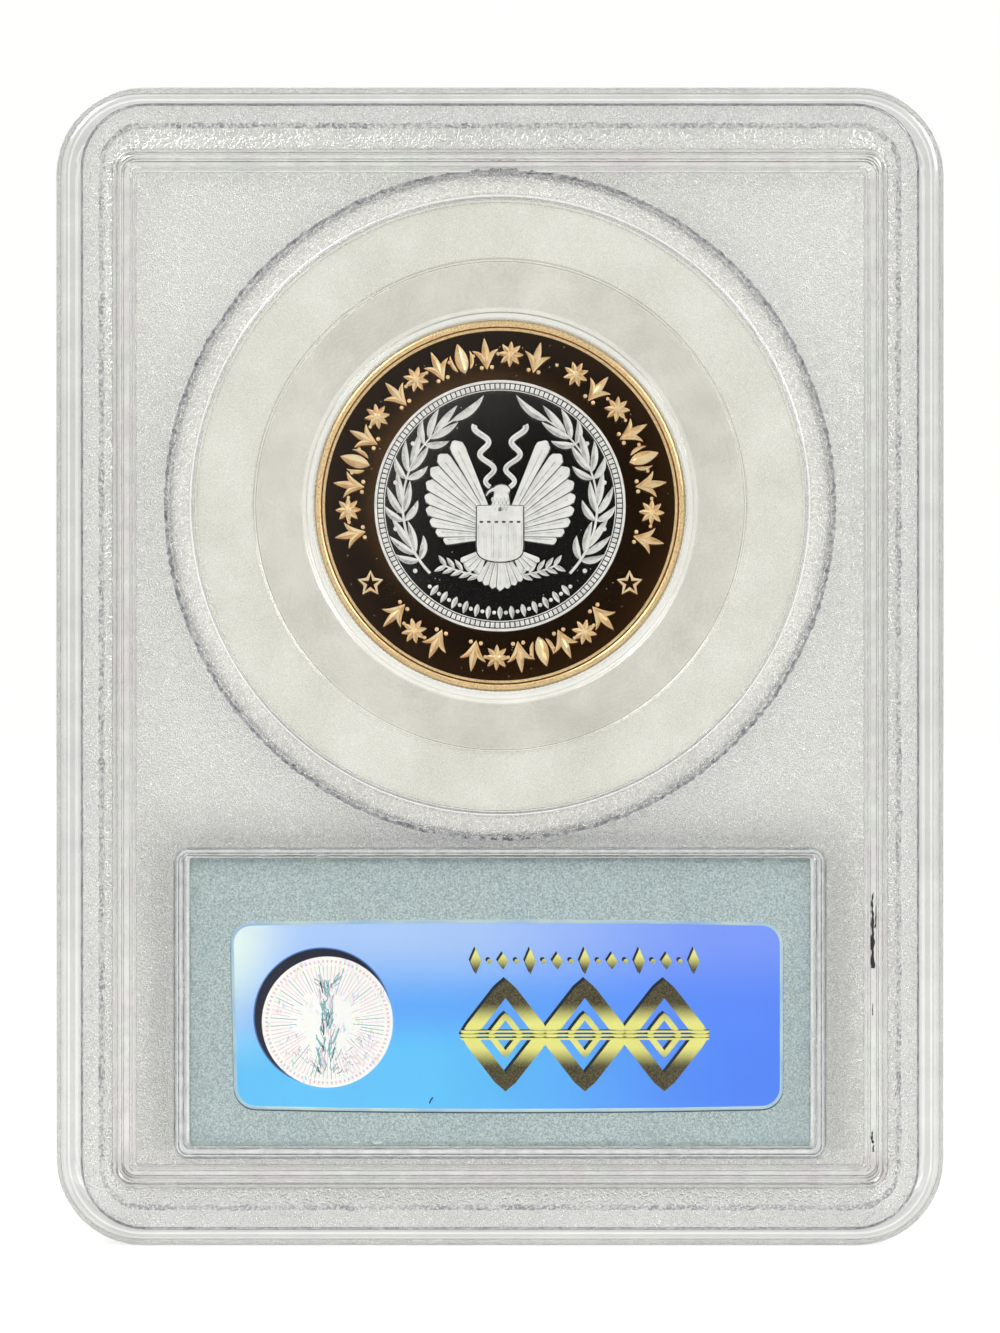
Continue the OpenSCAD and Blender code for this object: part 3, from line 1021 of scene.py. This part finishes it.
# ---------------------------------------------------------------- the bird
def wing(shape, side, base):
    """A fan of long feathers, each of which lies on the next one below it."""
    count = 9
    for i in range(count):
        t = i / (count - 1)
        degrees = 64 - 67 * t ** 0.8
        way = degrees if side > 0 else 180 - degrees
        x, y = side * (0.95 + 0.5 * t), -0.3 - 2.05 * t
        length = 5.55 - 0.5 * t - 2.4 * t * t
        feather(shape, x, y, way, length, 1.34 - 0.36 * t, 0.17 - 0.04 * t, base + 0.02, -side)


def shield(shape, base):
    """A plain shield with an empty band across its top and upright bars."""
    half, top, foot, shoulder = 1.62, -0.05, -4.0, -2.9
    curve = [(half * math.cos(math.pi * i / 12), shoulder - (shoulder - foot)
              * math.sin(math.pi * i / 12) ** 0.6) for i in range(13)]
    outline = curve + [(-half, top), (0, top), (half, top)]
    # a painted shadow round the shield
    stroke(shape, outline, 0.34, 0.19, base, FLAT, WALL_SHADE, closed=True)
    plate(shape, outline, 0.12, base + 0.12, 0.08)
    stroke(shape, outline, 0.13, 0.07, base + 0.22, FLAT, FROST, closed=True)
    face = base + 0.23
    bars = 6
    for i in range(bars):
        x = half * (2 * (i + 0.5) / bars - 1)
        low = shoulder - (shoulder - foot) * (1 - (x / half) ** 2) ** 0.3 + 0.2
        # a short painted shade across the top of each bar, and lines of painted half-shade down it
        stroke(shape, [(x - 0.13, -1.18), (x + 0.13, -1.18)], 0.15, 0.03, face, FLAT, WALL_SHADE)
        stroke(shape, [(x, -1.3), (x, low)], 0.2, 0.06, face, FLAT, FROST)
        for shift in (-0.2, 0.0, 0.2):
            stroke(shape, [(x + shift, -1.3), (x + shift, low)], 0.05, 0.07, face, FLAT, HALF_LIT)


def ribbon(shape, side, base):
    """A ribbon that waves upwards beside the head."""
    path = []
    for i in range(48):
        t = i / 47
        wave = 0.42 * math.sin(t * 2.3 * 2 * math.pi + 0.4)
        path.append((side * (0.55 + 0.95 * t + wave), 1.35 + 4.5 * t))
    stroke(shape, path, lambda t: 0.36 + 0.1 * t, 0.14, base, FLAT)
    # a line of painted half-shade along the ribbon
    stroke(shape, path, 0.1, 0.05, base + 0.12, FLAT, HALF_LIT)


def head(shape, base):
    """The bird's neck, head and bill, in profile."""
    neck = line((0.05, -0.4), (0.1, 0.95), 8)
    crown = line((0.72, 1.12), (-0.5, 1.1), 10)
    bill = line((-0.35, 1.15), (-1.0, 0.72), 6, -0.12)

    def skull(t):
        return 0.86 * math.sqrt(max(0.05, 1 - (2 * t - 1) ** 2))
    # the first, wider and lower copy is a painted shadow round the neck, head and bill
    for grow, height, lift, slot in ((0.2, 0.08, 0.04, WALL_SHADE), (0.0, 0.14, 0.1, FROST)):
        stroke(shape, neck, lambda t: 1.5 - 0.45 * t + grow, height, base + lift, ROUND, slot)
        stroke(shape, crown, lambda t: skull(t) + grow, height, base + lift + 0.01, ROUND, slot)
        stroke(shape, bill, lambda t: 0.34 * (1 - 0.8 * t) + grow, height, base + lift, ROUND, slot)
    for row in range(4):
        for i in range(5 - row % 2):
            x = 0.27 * (i - (4 - row % 2) / 2)
            leaf(shape, x, 0.62 - 0.24 * row, -90, 0.36, 0.2, 0.06, base + 0.22, 0.0)
    bead(shape, -0.15, 1.2, 0.09, 0.05, base + 0.22)
    # a painted shade line along the bill
    stroke(shape, line((-0.3, 1.02), (-0.85, 0.82), 4, -0.06), 0.06, 0.05, base + 0.21, FLAT, WALL_SHADE)


def spray(shape, side, base):
    """The foot and the leafy spray that it holds."""
    for toe in (-1, 0, 1, 2):
        way = -52 + 13 * toe
        feather(shape, side * (0.95 + 0.1 * toe), -3.2, way if side > 0 else 180 - way, 1.9, 0.5,
                0.13, base + 0.03, -side)
    stroke(shape, line((side * 1.0, -5.1), (side * 4.1, -4.3), 8, side * -0.15), 0.14, 0.1, base)
    for i in range(5):
        x, y = side * (1.5 + 0.6 * i), -5.0 + 0.16 * i
        for turn in (40, -38):
            way = 14 + turn
            leaf(shape, x, y, way if side > 0 else 180 - way, 0.95, 0.36, 0.13, base, 0.0)
    bead(shape, side * 1.2, -4.55, 0.16, 0.12, base + 0.02)


def bird(shape, base):
    """A bird with spread wings behind a plain shield, made only of simple forms."""
    for side in (-1, 1):
        wing(shape, side, base)
        ribbon(shape, side, base)
        spray(shape, side, base)
    for i in (0, 6, 1, 5, 2, 4, 3):
        off = i - 3
        feather(shape, 0.12 * off, -3.4, -90 + off * 10, 2.75 - 0.12 * abs(off), 0.66, 0.12,
                base + 0.02 * (3 - abs(off)), 1 if off > 0 else -1)
    head(shape, base)
    shield(shape, base)


def foot_ornament(shape, base):
    """A row of small leaves and beads under the bird."""
    count, first, last = 27, 229, 311
    for i in range(count):
        degrees = first + (last - first) * i / (count - 1)
        if i % 2:
            leaf(shape, *polar(7.3, degrees), degrees, 0.94, 0.42, 0.14, base, 0.0)
        else:
            bead(shape, *polar(7.76, degrees), 0.15, 0.12, base)


def rosette(shape, base):
    """Other face of the coin: a rosette of petals and rays."""
    for count, length, width, lift in ((24, 5.6, 0.62, 0.0), (16, 3.9, 0.8, 0.03),
                                       (12, 2.4, 0.8, 0.06)):
        for i in range(count):
            degrees = 360 * i / count + (7.5 if count == 16 else 0)
            leaf(shape, *polar(0.7, degrees), degrees, length, width, 0.13, base + lift, 0.0)
    hoop(shape, 0.95, 0.3, 0.12, base + 0.08)
    bead(shape, 0, 0, 0.7, 0.16, base + 0.06)
    for i in range(36):
        bead(shape, *polar(7.4, 10 * i), 0.24, 0.12, base)


# ================================================================ coin
def make_coin():
    """The gold ring with its raised, reeded rim, the platinum disc and the relief of both faces."""
    gold_mirror = dusty_mirror("gold_mirror", (0.80, 0.42, 0.155, 1), (0.88, 0.48, 0.19, 1))
    gold_bright = metal("gold_polished", (0.94, 0.62, 0.28, 1), (1.0, 0.74, 0.40, 1), 0.26, 0.3, 0)
    gold_satin = metal("gold_satin", (1.0, 0.64, 0.28, 1), (1.0, 0.84, 0.50, 1), 0.3, 0.08, 0.004,
                       0.4)
    dark_mirror = dusty_mirror("platinum_mirror", (0.55, 0.53, 0.51, 1), (0.62, 0.60, 0.58, 1))
    # In both lists the second material is a painted half-shade and the third a near black painted
    # shade.
    whites = [frosted_metal("platinum_frosted", (0.86, 0.86, 0.83, 1), (1.0, 1.0, 0.97, 1), 0.05),
              frosted_metal("platinum_half_lit", (0.42, 0.42, 0.41, 1), (0.84, 0.84, 0.81, 1), 0.2),
              metal("platinum_wall_shade", (0.03, 0.03, 0.03, 1), (0.09, 0.09, 0.09, 1), 0.3, 0.1, 0)]
    golds = [frosted_metal("gold_frosted", (1.0, 0.70, 0.37, 1), (1.0, 0.88, 0.58, 1), 0.3),
             frosted_metal("gold_half_lit", (0.72, 0.44, 0.19, 1), (0.96, 0.70, 0.38, 1), 0.6),
             metal("gold_wall_shade", (0.12, 0.06, 0.02, 1), (0.2, 0.11, 0.04, 1), 0.3, 0.1, 0)]

    rim_in = COIN_R - COIN_RIM
    half = [(CORE_R, FIELD_HALF_T), (rim_in - 0.12, FIELD_HALF_T), (rim_in + 0.06, 0.79),
            (rim_in + 0.17, 0.795), (rim_in + 0.19, COIN_HALF_T - 0.06),
            (rim_in + 0.25, COIN_HALF_T - 0.015), (rim_in + 0.34, COIN_HALF_T),
            (COIN_R - 0.17, COIN_HALF_T - 0.06), (COIN_R - 0.06, COIN_HALF_T - 0.14)]
    mirror, polished, satin = 0, 1, 2
    kinds = [mirror, satin, mirror, polished] + [satin] * 5
    edge = [(COIN_R, COIN_HALF_T - 0.2)]
    section = half + edge + [(r, -out) for r, out in reversed(half + edge)]
    slots = kinds + [satin] + kinds[::-1] + [mirror]
    last = len(half)
    ring = turned("coin_gold_ring", section, slots, [gold_mirror, gold_bright, gold_satin], 480,
                  reeds=(last, last + 1))
    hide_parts("coin_ring")
    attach(ring, CARRIER)

    shape = Shape(FRONT, (0.0, COIN_Z))
    seat = CORE_R - 0.004
    shape.solid([shape.loop(circle(seat, 256), out) for out in (-FIELD_HALF_T, FIELD_HALF_T)])
    core = shape.object("coin_platinum_disc", [dark_mirror])
    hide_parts("coin_core")
    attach(core, CARRIER)

    for side, face in ((BACK, "reverse"), (FRONT, "obverse")):
        upright = side == BACK
        gold = Shape(side, (0.0, COIN_Z), upright)
        ring_ornament(gold, FIELD_HALF_T)
        piece = gold.object("coin_ring_relief_" + face, golds, sharp=22, weighted=False)
        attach(piece, CARRIER)

        white = Shape(side, (0.0, COIN_Z), upright)
        toothed_border(white, FIELD_HALF_T)
        if side == BACK:
            bird(white, FIELD_HALF_T)
            foot_ornament(white, FIELD_HALF_T)
            for way in (-1, 1):
                laurel(white, way, FIELD_HALF_T)
        else:
            rosette(white, FIELD_HALF_T)
        piece = white.object("coin_disc_relief_" + face, whites, sharp=22, weighted=False)
        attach(piece, CARRIER)


# ================================================================ label and sticker
def slab_of_paper(shape, hw, hh, cy, r, low, high, slot=0):
    """A thin sheet with round corners and eased edges, between two heights."""
    ease = (high - low) * 0.2
    loops = [shape.loop(rounded(hw - inset, hh - inset, cy, r), out)
             for inset, out in ((ease, low), (0, low + ease), (0, high - ease), (ease, high))]
    shape.solid(loops, slot)


def patch(shape, x, y, w, h, low, high, slot=0):
    """A printed rectangle."""
    loops = [shape.loop([(x - w / 2, y - h / 2), (x + w / 2, y - h / 2), (x + w / 2, y + h / 2),
                         (x - w / 2, y + h / 2)], out) for out in (low, high)]
    shape.solid(loops, slot)


def make_label():
    """The card, and the plain bars and blocks printed on its front."""
    half_t = card_high.y
    half_w, half_h = (card_high.x - card_low.x) / 2, (card_high.z - card_low.z) / 2
    shape = Shape(FRONT, (0.0, BOX_Z))
    slab_of_paper(shape, half_w, half_h, 0, 0.25, -half_t, half_t)
    card = shape.object("label_paper_card", [label_paper()])
    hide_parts("label_card")
    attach(card, CASE)

    ink = Shape(FRONT, (0.0, BOX_Z), upright=False)
    low, high = half_t - 0.005, half_t + 0.012
    dark, blue, white = 0, 1, 2
    for margin, colour, thicker in ((1.6, blue, 0.0), (2.6, white, 0.008)):
        patch(ink, 0, 0, 2 * half_w - margin, 2 * half_h - margin, low, high + thicker, colour)
    low, high = high, high + 0.02
    left, foot = -20.0, -6.0
    for row, (width, height) in enumerate(((17, 1.5), (22, 1.0), (13, 1.0), (19, 1.0))):
        patch(ink, left + width / 2, 6.6 - 2.5 * row, width, height, low, high, dark)
    patch(ink, 14.5, 4.6, 11, 5.4, low, high, blue)
    x = left
    random.seed(11)
    while x < 4:
        bar = random.choice((0.18, 0.3, 0.5))
        patch(ink, x + bar / 2, foot, bar, 3.6, low, high, dark)
        x += bar + random.choice((0.2, 0.32, 0.45))
    for i in range(9):
        patch(ink, 10 + i, foot, 0.55, 2.4 - 0.9 * (i % 2), low, high, dark)
    materials = [printed("ink_dark", linear(52, 60, 66)), printed("ink_blue", linear(60, 110, 150)),
                 printed("ink_white", linear(228, 234, 234))]
    piece = ink.object("label_front_print", materials)
    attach(piece, CASE)


def sticker_sheet(shape, body, edge, adhesive_and_shadow):
    """The sheet, its bare edge that lifts a little and a glue layer below it that shows as a painted
    shadow under the bottom edge. Returns its height.
    """
    hw, hh = (foil_high.x - foil_low.x) / 2, (foil_high.z - foil_low.z) / 2
    low, high = -foil_high.y, -foil_low.y

    def bowed(points):
        """The sheet is cut a little uneven: fuller in its middle, and leaning at its left."""
        return [(x - 0.012 * y * (1 - x / hw), y * (1.018 - 0.036 * (x / hw) ** 2))
                for x, y in points]
    face, radius = high - 0.03, 1.55
    # a dark glue layer set a little low, so that it shows under the bottom edge as a painted shadow
    shape.solid([shape.loop(bowed(rounded(hw + 0.02, hh + 0.03, -0.06, radius, 12, 24)), out)
                 for out in (low + 0.01, low + 0.03)], adhesive_and_shadow)
    steps = ((0.0, low, edge), (0.0, face, edge), (0.05, high, edge), (0.16, high, edge),
             (0.24, face, body))
    loops = [shape.loop(bowed(rounded(hw - inset, hh - inset, 0, radius - inset, 12, 24)), out)
             for inset, out, _ in steps]
    shape.face(loops[0][::-1], edge)
    for number in range(1, len(steps)):
        shape.strip(loops[number - 1], loops[number], steps[number - 1][2])
    shape.face(loops[-1], body)
    return face


DARK_FOIL, SILVER_FOIL, GOLD_FOIL, HALF_DARK, PINK_FOIL, TEAL_FOIL = range(6)
INK = 0.012                                 # thickness of foil print


def disc_plate(shape, x, y, radius, low, high, slot):
    """A flat printed disc."""
    shape.solid([shape.loop(circle(radius, 96, x, y), out) for out in (low, high)], slot)


def medallion(shape, face):
    """A silver medallion of fine rays round a sheaf, with a deep shadow at its upper left."""
    for grow, out, slot in ((0.26, 0.004, HALF_DARK), (0.16, 0.007, DARK_FOIL)):
        disc_plate(shape, DISC_X - 0.36, DISC_Z + 0.4, DISC_R + grow, face - SUNK, face + out, slot)
    top = face + 0.02
    disc_plate(shape, DISC_X, DISC_Z, DISC_R, face - SUNK, top, SILVER_FOIL)

    def etched(start, end, width, slot, section=ROUND, bow=0.0):
        path = line((DISC_X + start[0], DISC_Z + start[1]), (DISC_X + end[0], DISC_Z + end[1]), 8,
                    bow)
        stroke(shape, path, width, 0.025, top, section, slot)

    random.seed(9)
    rays, teeth, stems = 84, 88, 120
    for i in range(rays):
        degrees = 360 * i / rays
        start = 1.8 + 1.2 * random.random()
        slot = PINK_FOIL if random.random() < 0.85 else TEAL_FOIL
        etched(polar(start, degrees), polar(DISC_R - 0.62, degrees), 0.05, slot)
    for i in range(stems):
        y = random.uniform(-3.7, 3.3)
        reach = 0.35 + 0.16 * abs(y - 0.4)
        x = random.uniform(-reach, reach)
        tall = random.uniform(0.4, 1.3) * (1 if abs(y) < 2.6 else 0.5)
        lean = 0.3 * x + random.uniform(-0.12, 0.12)
        slot = random.choice((TEAL_FOIL, TEAL_FOIL, TEAL_FOIL, DARK_FOIL, PINK_FOIL))
        etched((x - lean, y - tall / 2), (x + lean, y + tall / 2), random.uniform(0.045, 0.1),
               slot, ROUND, random.uniform(-0.1, 0.1))
    for i in range(stems):
        degrees, r = random.uniform(200, 340), random.uniform(2.4, 3.9)
        x, y = polar(r, degrees)
        etched((x, y), (x + random.uniform(-0.3, 0.3), y + random.uniform(0, 0.3)), 0.045,
               random.choice((TEAL_FOIL, PINK_FOIL)))
    for i in range(teeth):
        degrees = 360 * i / teeth
        etched(polar(DISC_R - 0.44, degrees), polar(DISC_R - 0.24, degrees), 0.13, PINK_FOIL)


def diamond_path(x, y, hw, hh, share=1.0, steps=8):
    corners = [(hw * share, 0), (0, hh * share), (-hw * share, 0), (0, -hh * share)]
    path = []
    for a, b in zip(corners, corners[1:] + corners[:1]):
        path += line(a, b, steps)[:-1]
    return [(x + px, y + py) for px, py in path]


def foil_diamonds(shape, face):
    """Three linked diamonds with a smaller one in each, and three fine bars across them."""
    hw, hh, pitch = 2.75, MARK_HH - 0.35, 5.75
    for shift, slot, out in (((-0.14, 0.17), DARK_FOIL, 0.0), ((0, 0), GOLD_FOIL, INK)):
        for i in range(3):
            x, y = MARK_X + (i - 1) * pitch + shift[0], MARK_Z + shift[1]
            for share, width in ((1.0, 1.05), (0.4, 0.42)):
                stroke(shape, diamond_path(x, y, hw, hh, share), width, INK, face + out, FLAT, slot,
                       closed=True)
    for i in range(3):
        y = MARK_Z + (i - 1) * 0.27
        ends = (MARK_X - 9, MARK_X + 9)
        stroke(shape, [(x, y + 0.05) for x in ends], 0.2, INK, face + 0.014, FLAT, DARK_FOIL)
        stroke(shape, [(x, y) for x in ends], 0.15, INK, face + 0.022, FLAT, GOLD_FOIL)


def foil_beads(shape, face):
    """A row of small diamonds and dots above the large ones."""
    count, half, y = 17, 7.9, 20.4
    for shift, slot, out in (((-0.12, 0.14), DARK_FOIL, 0.0), ((0, 0), GOLD_FOIL, INK)):
        for i in range(count):
            x = MARK_X - half + 2 * half * i / (count - 1) + shift[0]
            if i % 2 == 0:
                tall = 0.95 if i % 4 == 0 else 0.6
                path = diamond_path(x, y + shift[1], 0.4, tall, steps=2)
                shape.solid([shape.loop(path, face + level) for level in (out - SUNK, out + INK)],
                            slot)
            else:
                disc_plate(shape, x, y + shift[1], 0.17, face + out - SUNK, face + out + INK, slot)


def foil_print_materials():
    return [printed("foil_shadow", linear(34, 38, 56), 0.35), foil_silver(DISC_X, DISC_Z),
            foil_gold(MARK_Z, MARK_HH), printed("foil_half_shadow", linear(74, 122, 200), 0.4),
            printed("foil_pink", linear(242, 212, 228), 0.4),
            printed("foil_teal", linear(134, 186, 190), 0.4)]


def make_sticker():
    """The foil sheet, and the foil and ink that are printed on it."""
    centre = ((foil_low.x + foil_high.x) / 2, (foil_low.z + foil_high.z) / 2)
    shape = Shape(BACK, centre)
    face = sticker_sheet(shape, 0, 1, 2)
    # the third material is the dark glue layer, also a painted shadow under the sheet's edge
    materials = [hologram_blue(), foil_edge(), printed("foil_adhesive_and_shadow", linear(58, 84, 104))]
    sheet = shape.object("hologram_foil_sticker", materials, sharp=20)
    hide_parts("hologram_sticker")
    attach(sheet, CASE)

    art = Shape(BACK)
    medallion(art, face)
    foil_diamonds(art, face)
    foil_beads(art, face)
    stroke(art, line((-5.1, 10.1), (-4.85, 10.55), 4, 0.04), 0.11, 0.03, face, ROUND, DARK_FOIL)
    piece = art.object("hologram_foil_print", foil_print_materials(), sharp=50, weighted=False)
    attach(piece, CASE)


# ================================================================ studio
def make_floor():
    """A plain pale table top that ends just in front of the slab."""
    shape = Shape(BACK)
    material = Paint("floor_white", Roughness=0.9, Specular_IOR_Level=0.1)
    tone = material.ramp(material.noise(0.01, 2.0), 0.3, 0.7)
    material.link("Base Color", material.mix(tone, (0.34, 0.34, 0.34, 1), (0.36, 0.36, 0.36, 1)))
    material.glow(FLOOR_GLOW)
    corners = [(-2500, 60), (2500, 60), (2500, -2500), (-2500, -2500)]
    top = [shape.point(x, 0, y) for x, y in corners]
    foot = [shape.point(x, -10, y) for x, y in corners]
    shape.face(top)
    shape.face(foot[::-1])
    shape.strip(foot, top)
    floor = shape.object("studio_floor", [material.material], weighted=False)


def make_world():
    """White all round, with soft dark areas where the camera stands for the main view. They are
    seen only in reflections, and light that comes through the plastic has its own strength."""
    world = bpy.data.worlds.new("studio")
    bpy.context.scene.world = world
    world.use_nodes = True
    tree = world.node_tree
    background = tree.nodes["Background"]

    def node(kind, settings=None, **inputs):
        return add_node(tree, kind, settings, **inputs)

    direction = node("TexCoord").outputs["Generated"]

    def lobe(way, wide, narrow, low, high):
        """`low` further than `wide` degrees from a direction, and `high` nearer than `narrow`."""
        towards = node("VectorMath", {"operation": "DOT_PRODUCT"}, i0=direction,
                       i1=Vector(way).normalized())
        made = node("MapRange", {"interpolation_type": "SMOOTHSTEP"},
                    Value=towards.outputs["Value"], From_Min=math.cos(math.radians(wide)),
                    From_Max=math.cos(math.radians(narrow)), To_Min=low, To_Max=high)
        return made.outputs["Result"]

    def mixed(amount, a, b):
        """`a` where the amount is 0 and `b` where it is 1."""
        return node("Mix", {"data_type": "FLOAT"}, i0=amount, i2=a, i3=b).outputs[0]

    def product(a, b):
        return node("Math", {"operation": "MULTIPLY"}, i0=a, i1=b).outputs[0]

    path = node("LightPath").outputs
    wide_dark = lobe((0.01, -1, 0.1), 34, 11, 1.0, 0.132)
    core_dark = lobe((0.0113, -1, 0.0196), 2.6, 1.0, 1.0, 0.125)   # seen in the coin's disc
    low_dark = lobe((0.0, -1, -0.042), 2.7, 1.3, 1.0, 0.2)         # the same, from 3 degrees up
    behind_camera = product(product(wide_dark, low_dark), core_dark)
    through = lobe((0, 1, 0), 70, 24, 0.68, 1.13)
    plain = node("Math", {"operation": "MAXIMUM"}, i0=path["Is Camera Ray"], i1=path["Diffuse Depth"])
    seen = mixed(path["Glossy Depth"], through, behind_camera)
    lit = mixed(path["Diffuse Depth"], 1.0, 1.12)
    strength = mixed(plain.outputs[0], seen, lit)
    tree.links.new(strength, background.inputs["Strength"])
    background.inputs["Color"].default_value = (1.0, 1.0, 0.995, 1)


def area_light(name, place, target, size, watts):
    """A rectangular lamp that looks at a target. Places and sizes are in metres."""
    lamp = bpy.data.lights.new(name, "AREA")
    lamp.shape, lamp.size, lamp.size_y, lamp.energy = "RECTANGLE", size[0], size[1], watts
    holder = bpy.data.objects.new(name, lamp)
    holder.location = place
    way = Vector(target) - Vector(place)
    holder.rotation_euler = way.to_track_quat("-Z", "Y").to_euler()
    bpy.context.scene.collection.objects.link(holder)


def make_lights():
    """Two soft lamps behind the camera, one at each side."""
    middle = (0, 0, CASE_H / 2 * MM)
    area_light("key_light", (-0.45, -0.55, 0.55), middle, (0.35, 0.35), 6)
    area_light("fill_light", (0.55, -0.5, 0.35), middle, (0.35, 0.35), 4)


def make_camera():
    """Looks straight at the back of the slab, level with its middle."""
    lens, sensor, frame_h = 150.0, 36.0, 96.13
    silhouette = -(HALF_T - EDGE_R)
    data = bpy.data.cameras.new("camera")
    data.lens, data.sensor_width = lens, sensor
    camera = bpy.data.objects.new("camera", data)
    distance = frame_h * lens / sensor
    camera.location = (0, (silhouette - distance) * MM, CASE_H / 2 * MM)
    camera.rotation_euler = (math.radians(90), 0, 0)
    bpy.context.scene.collection.objects.link(camera)
    bpy.context.scene.camera = camera


make_camera()
make_floor()
make_world()
make_lights()
make_shells()
make_groove_dirt()
make_gasket()
make_coin()
make_label()
make_sticker()
bpy.context.scene.view_settings.view_transform = "Standard"
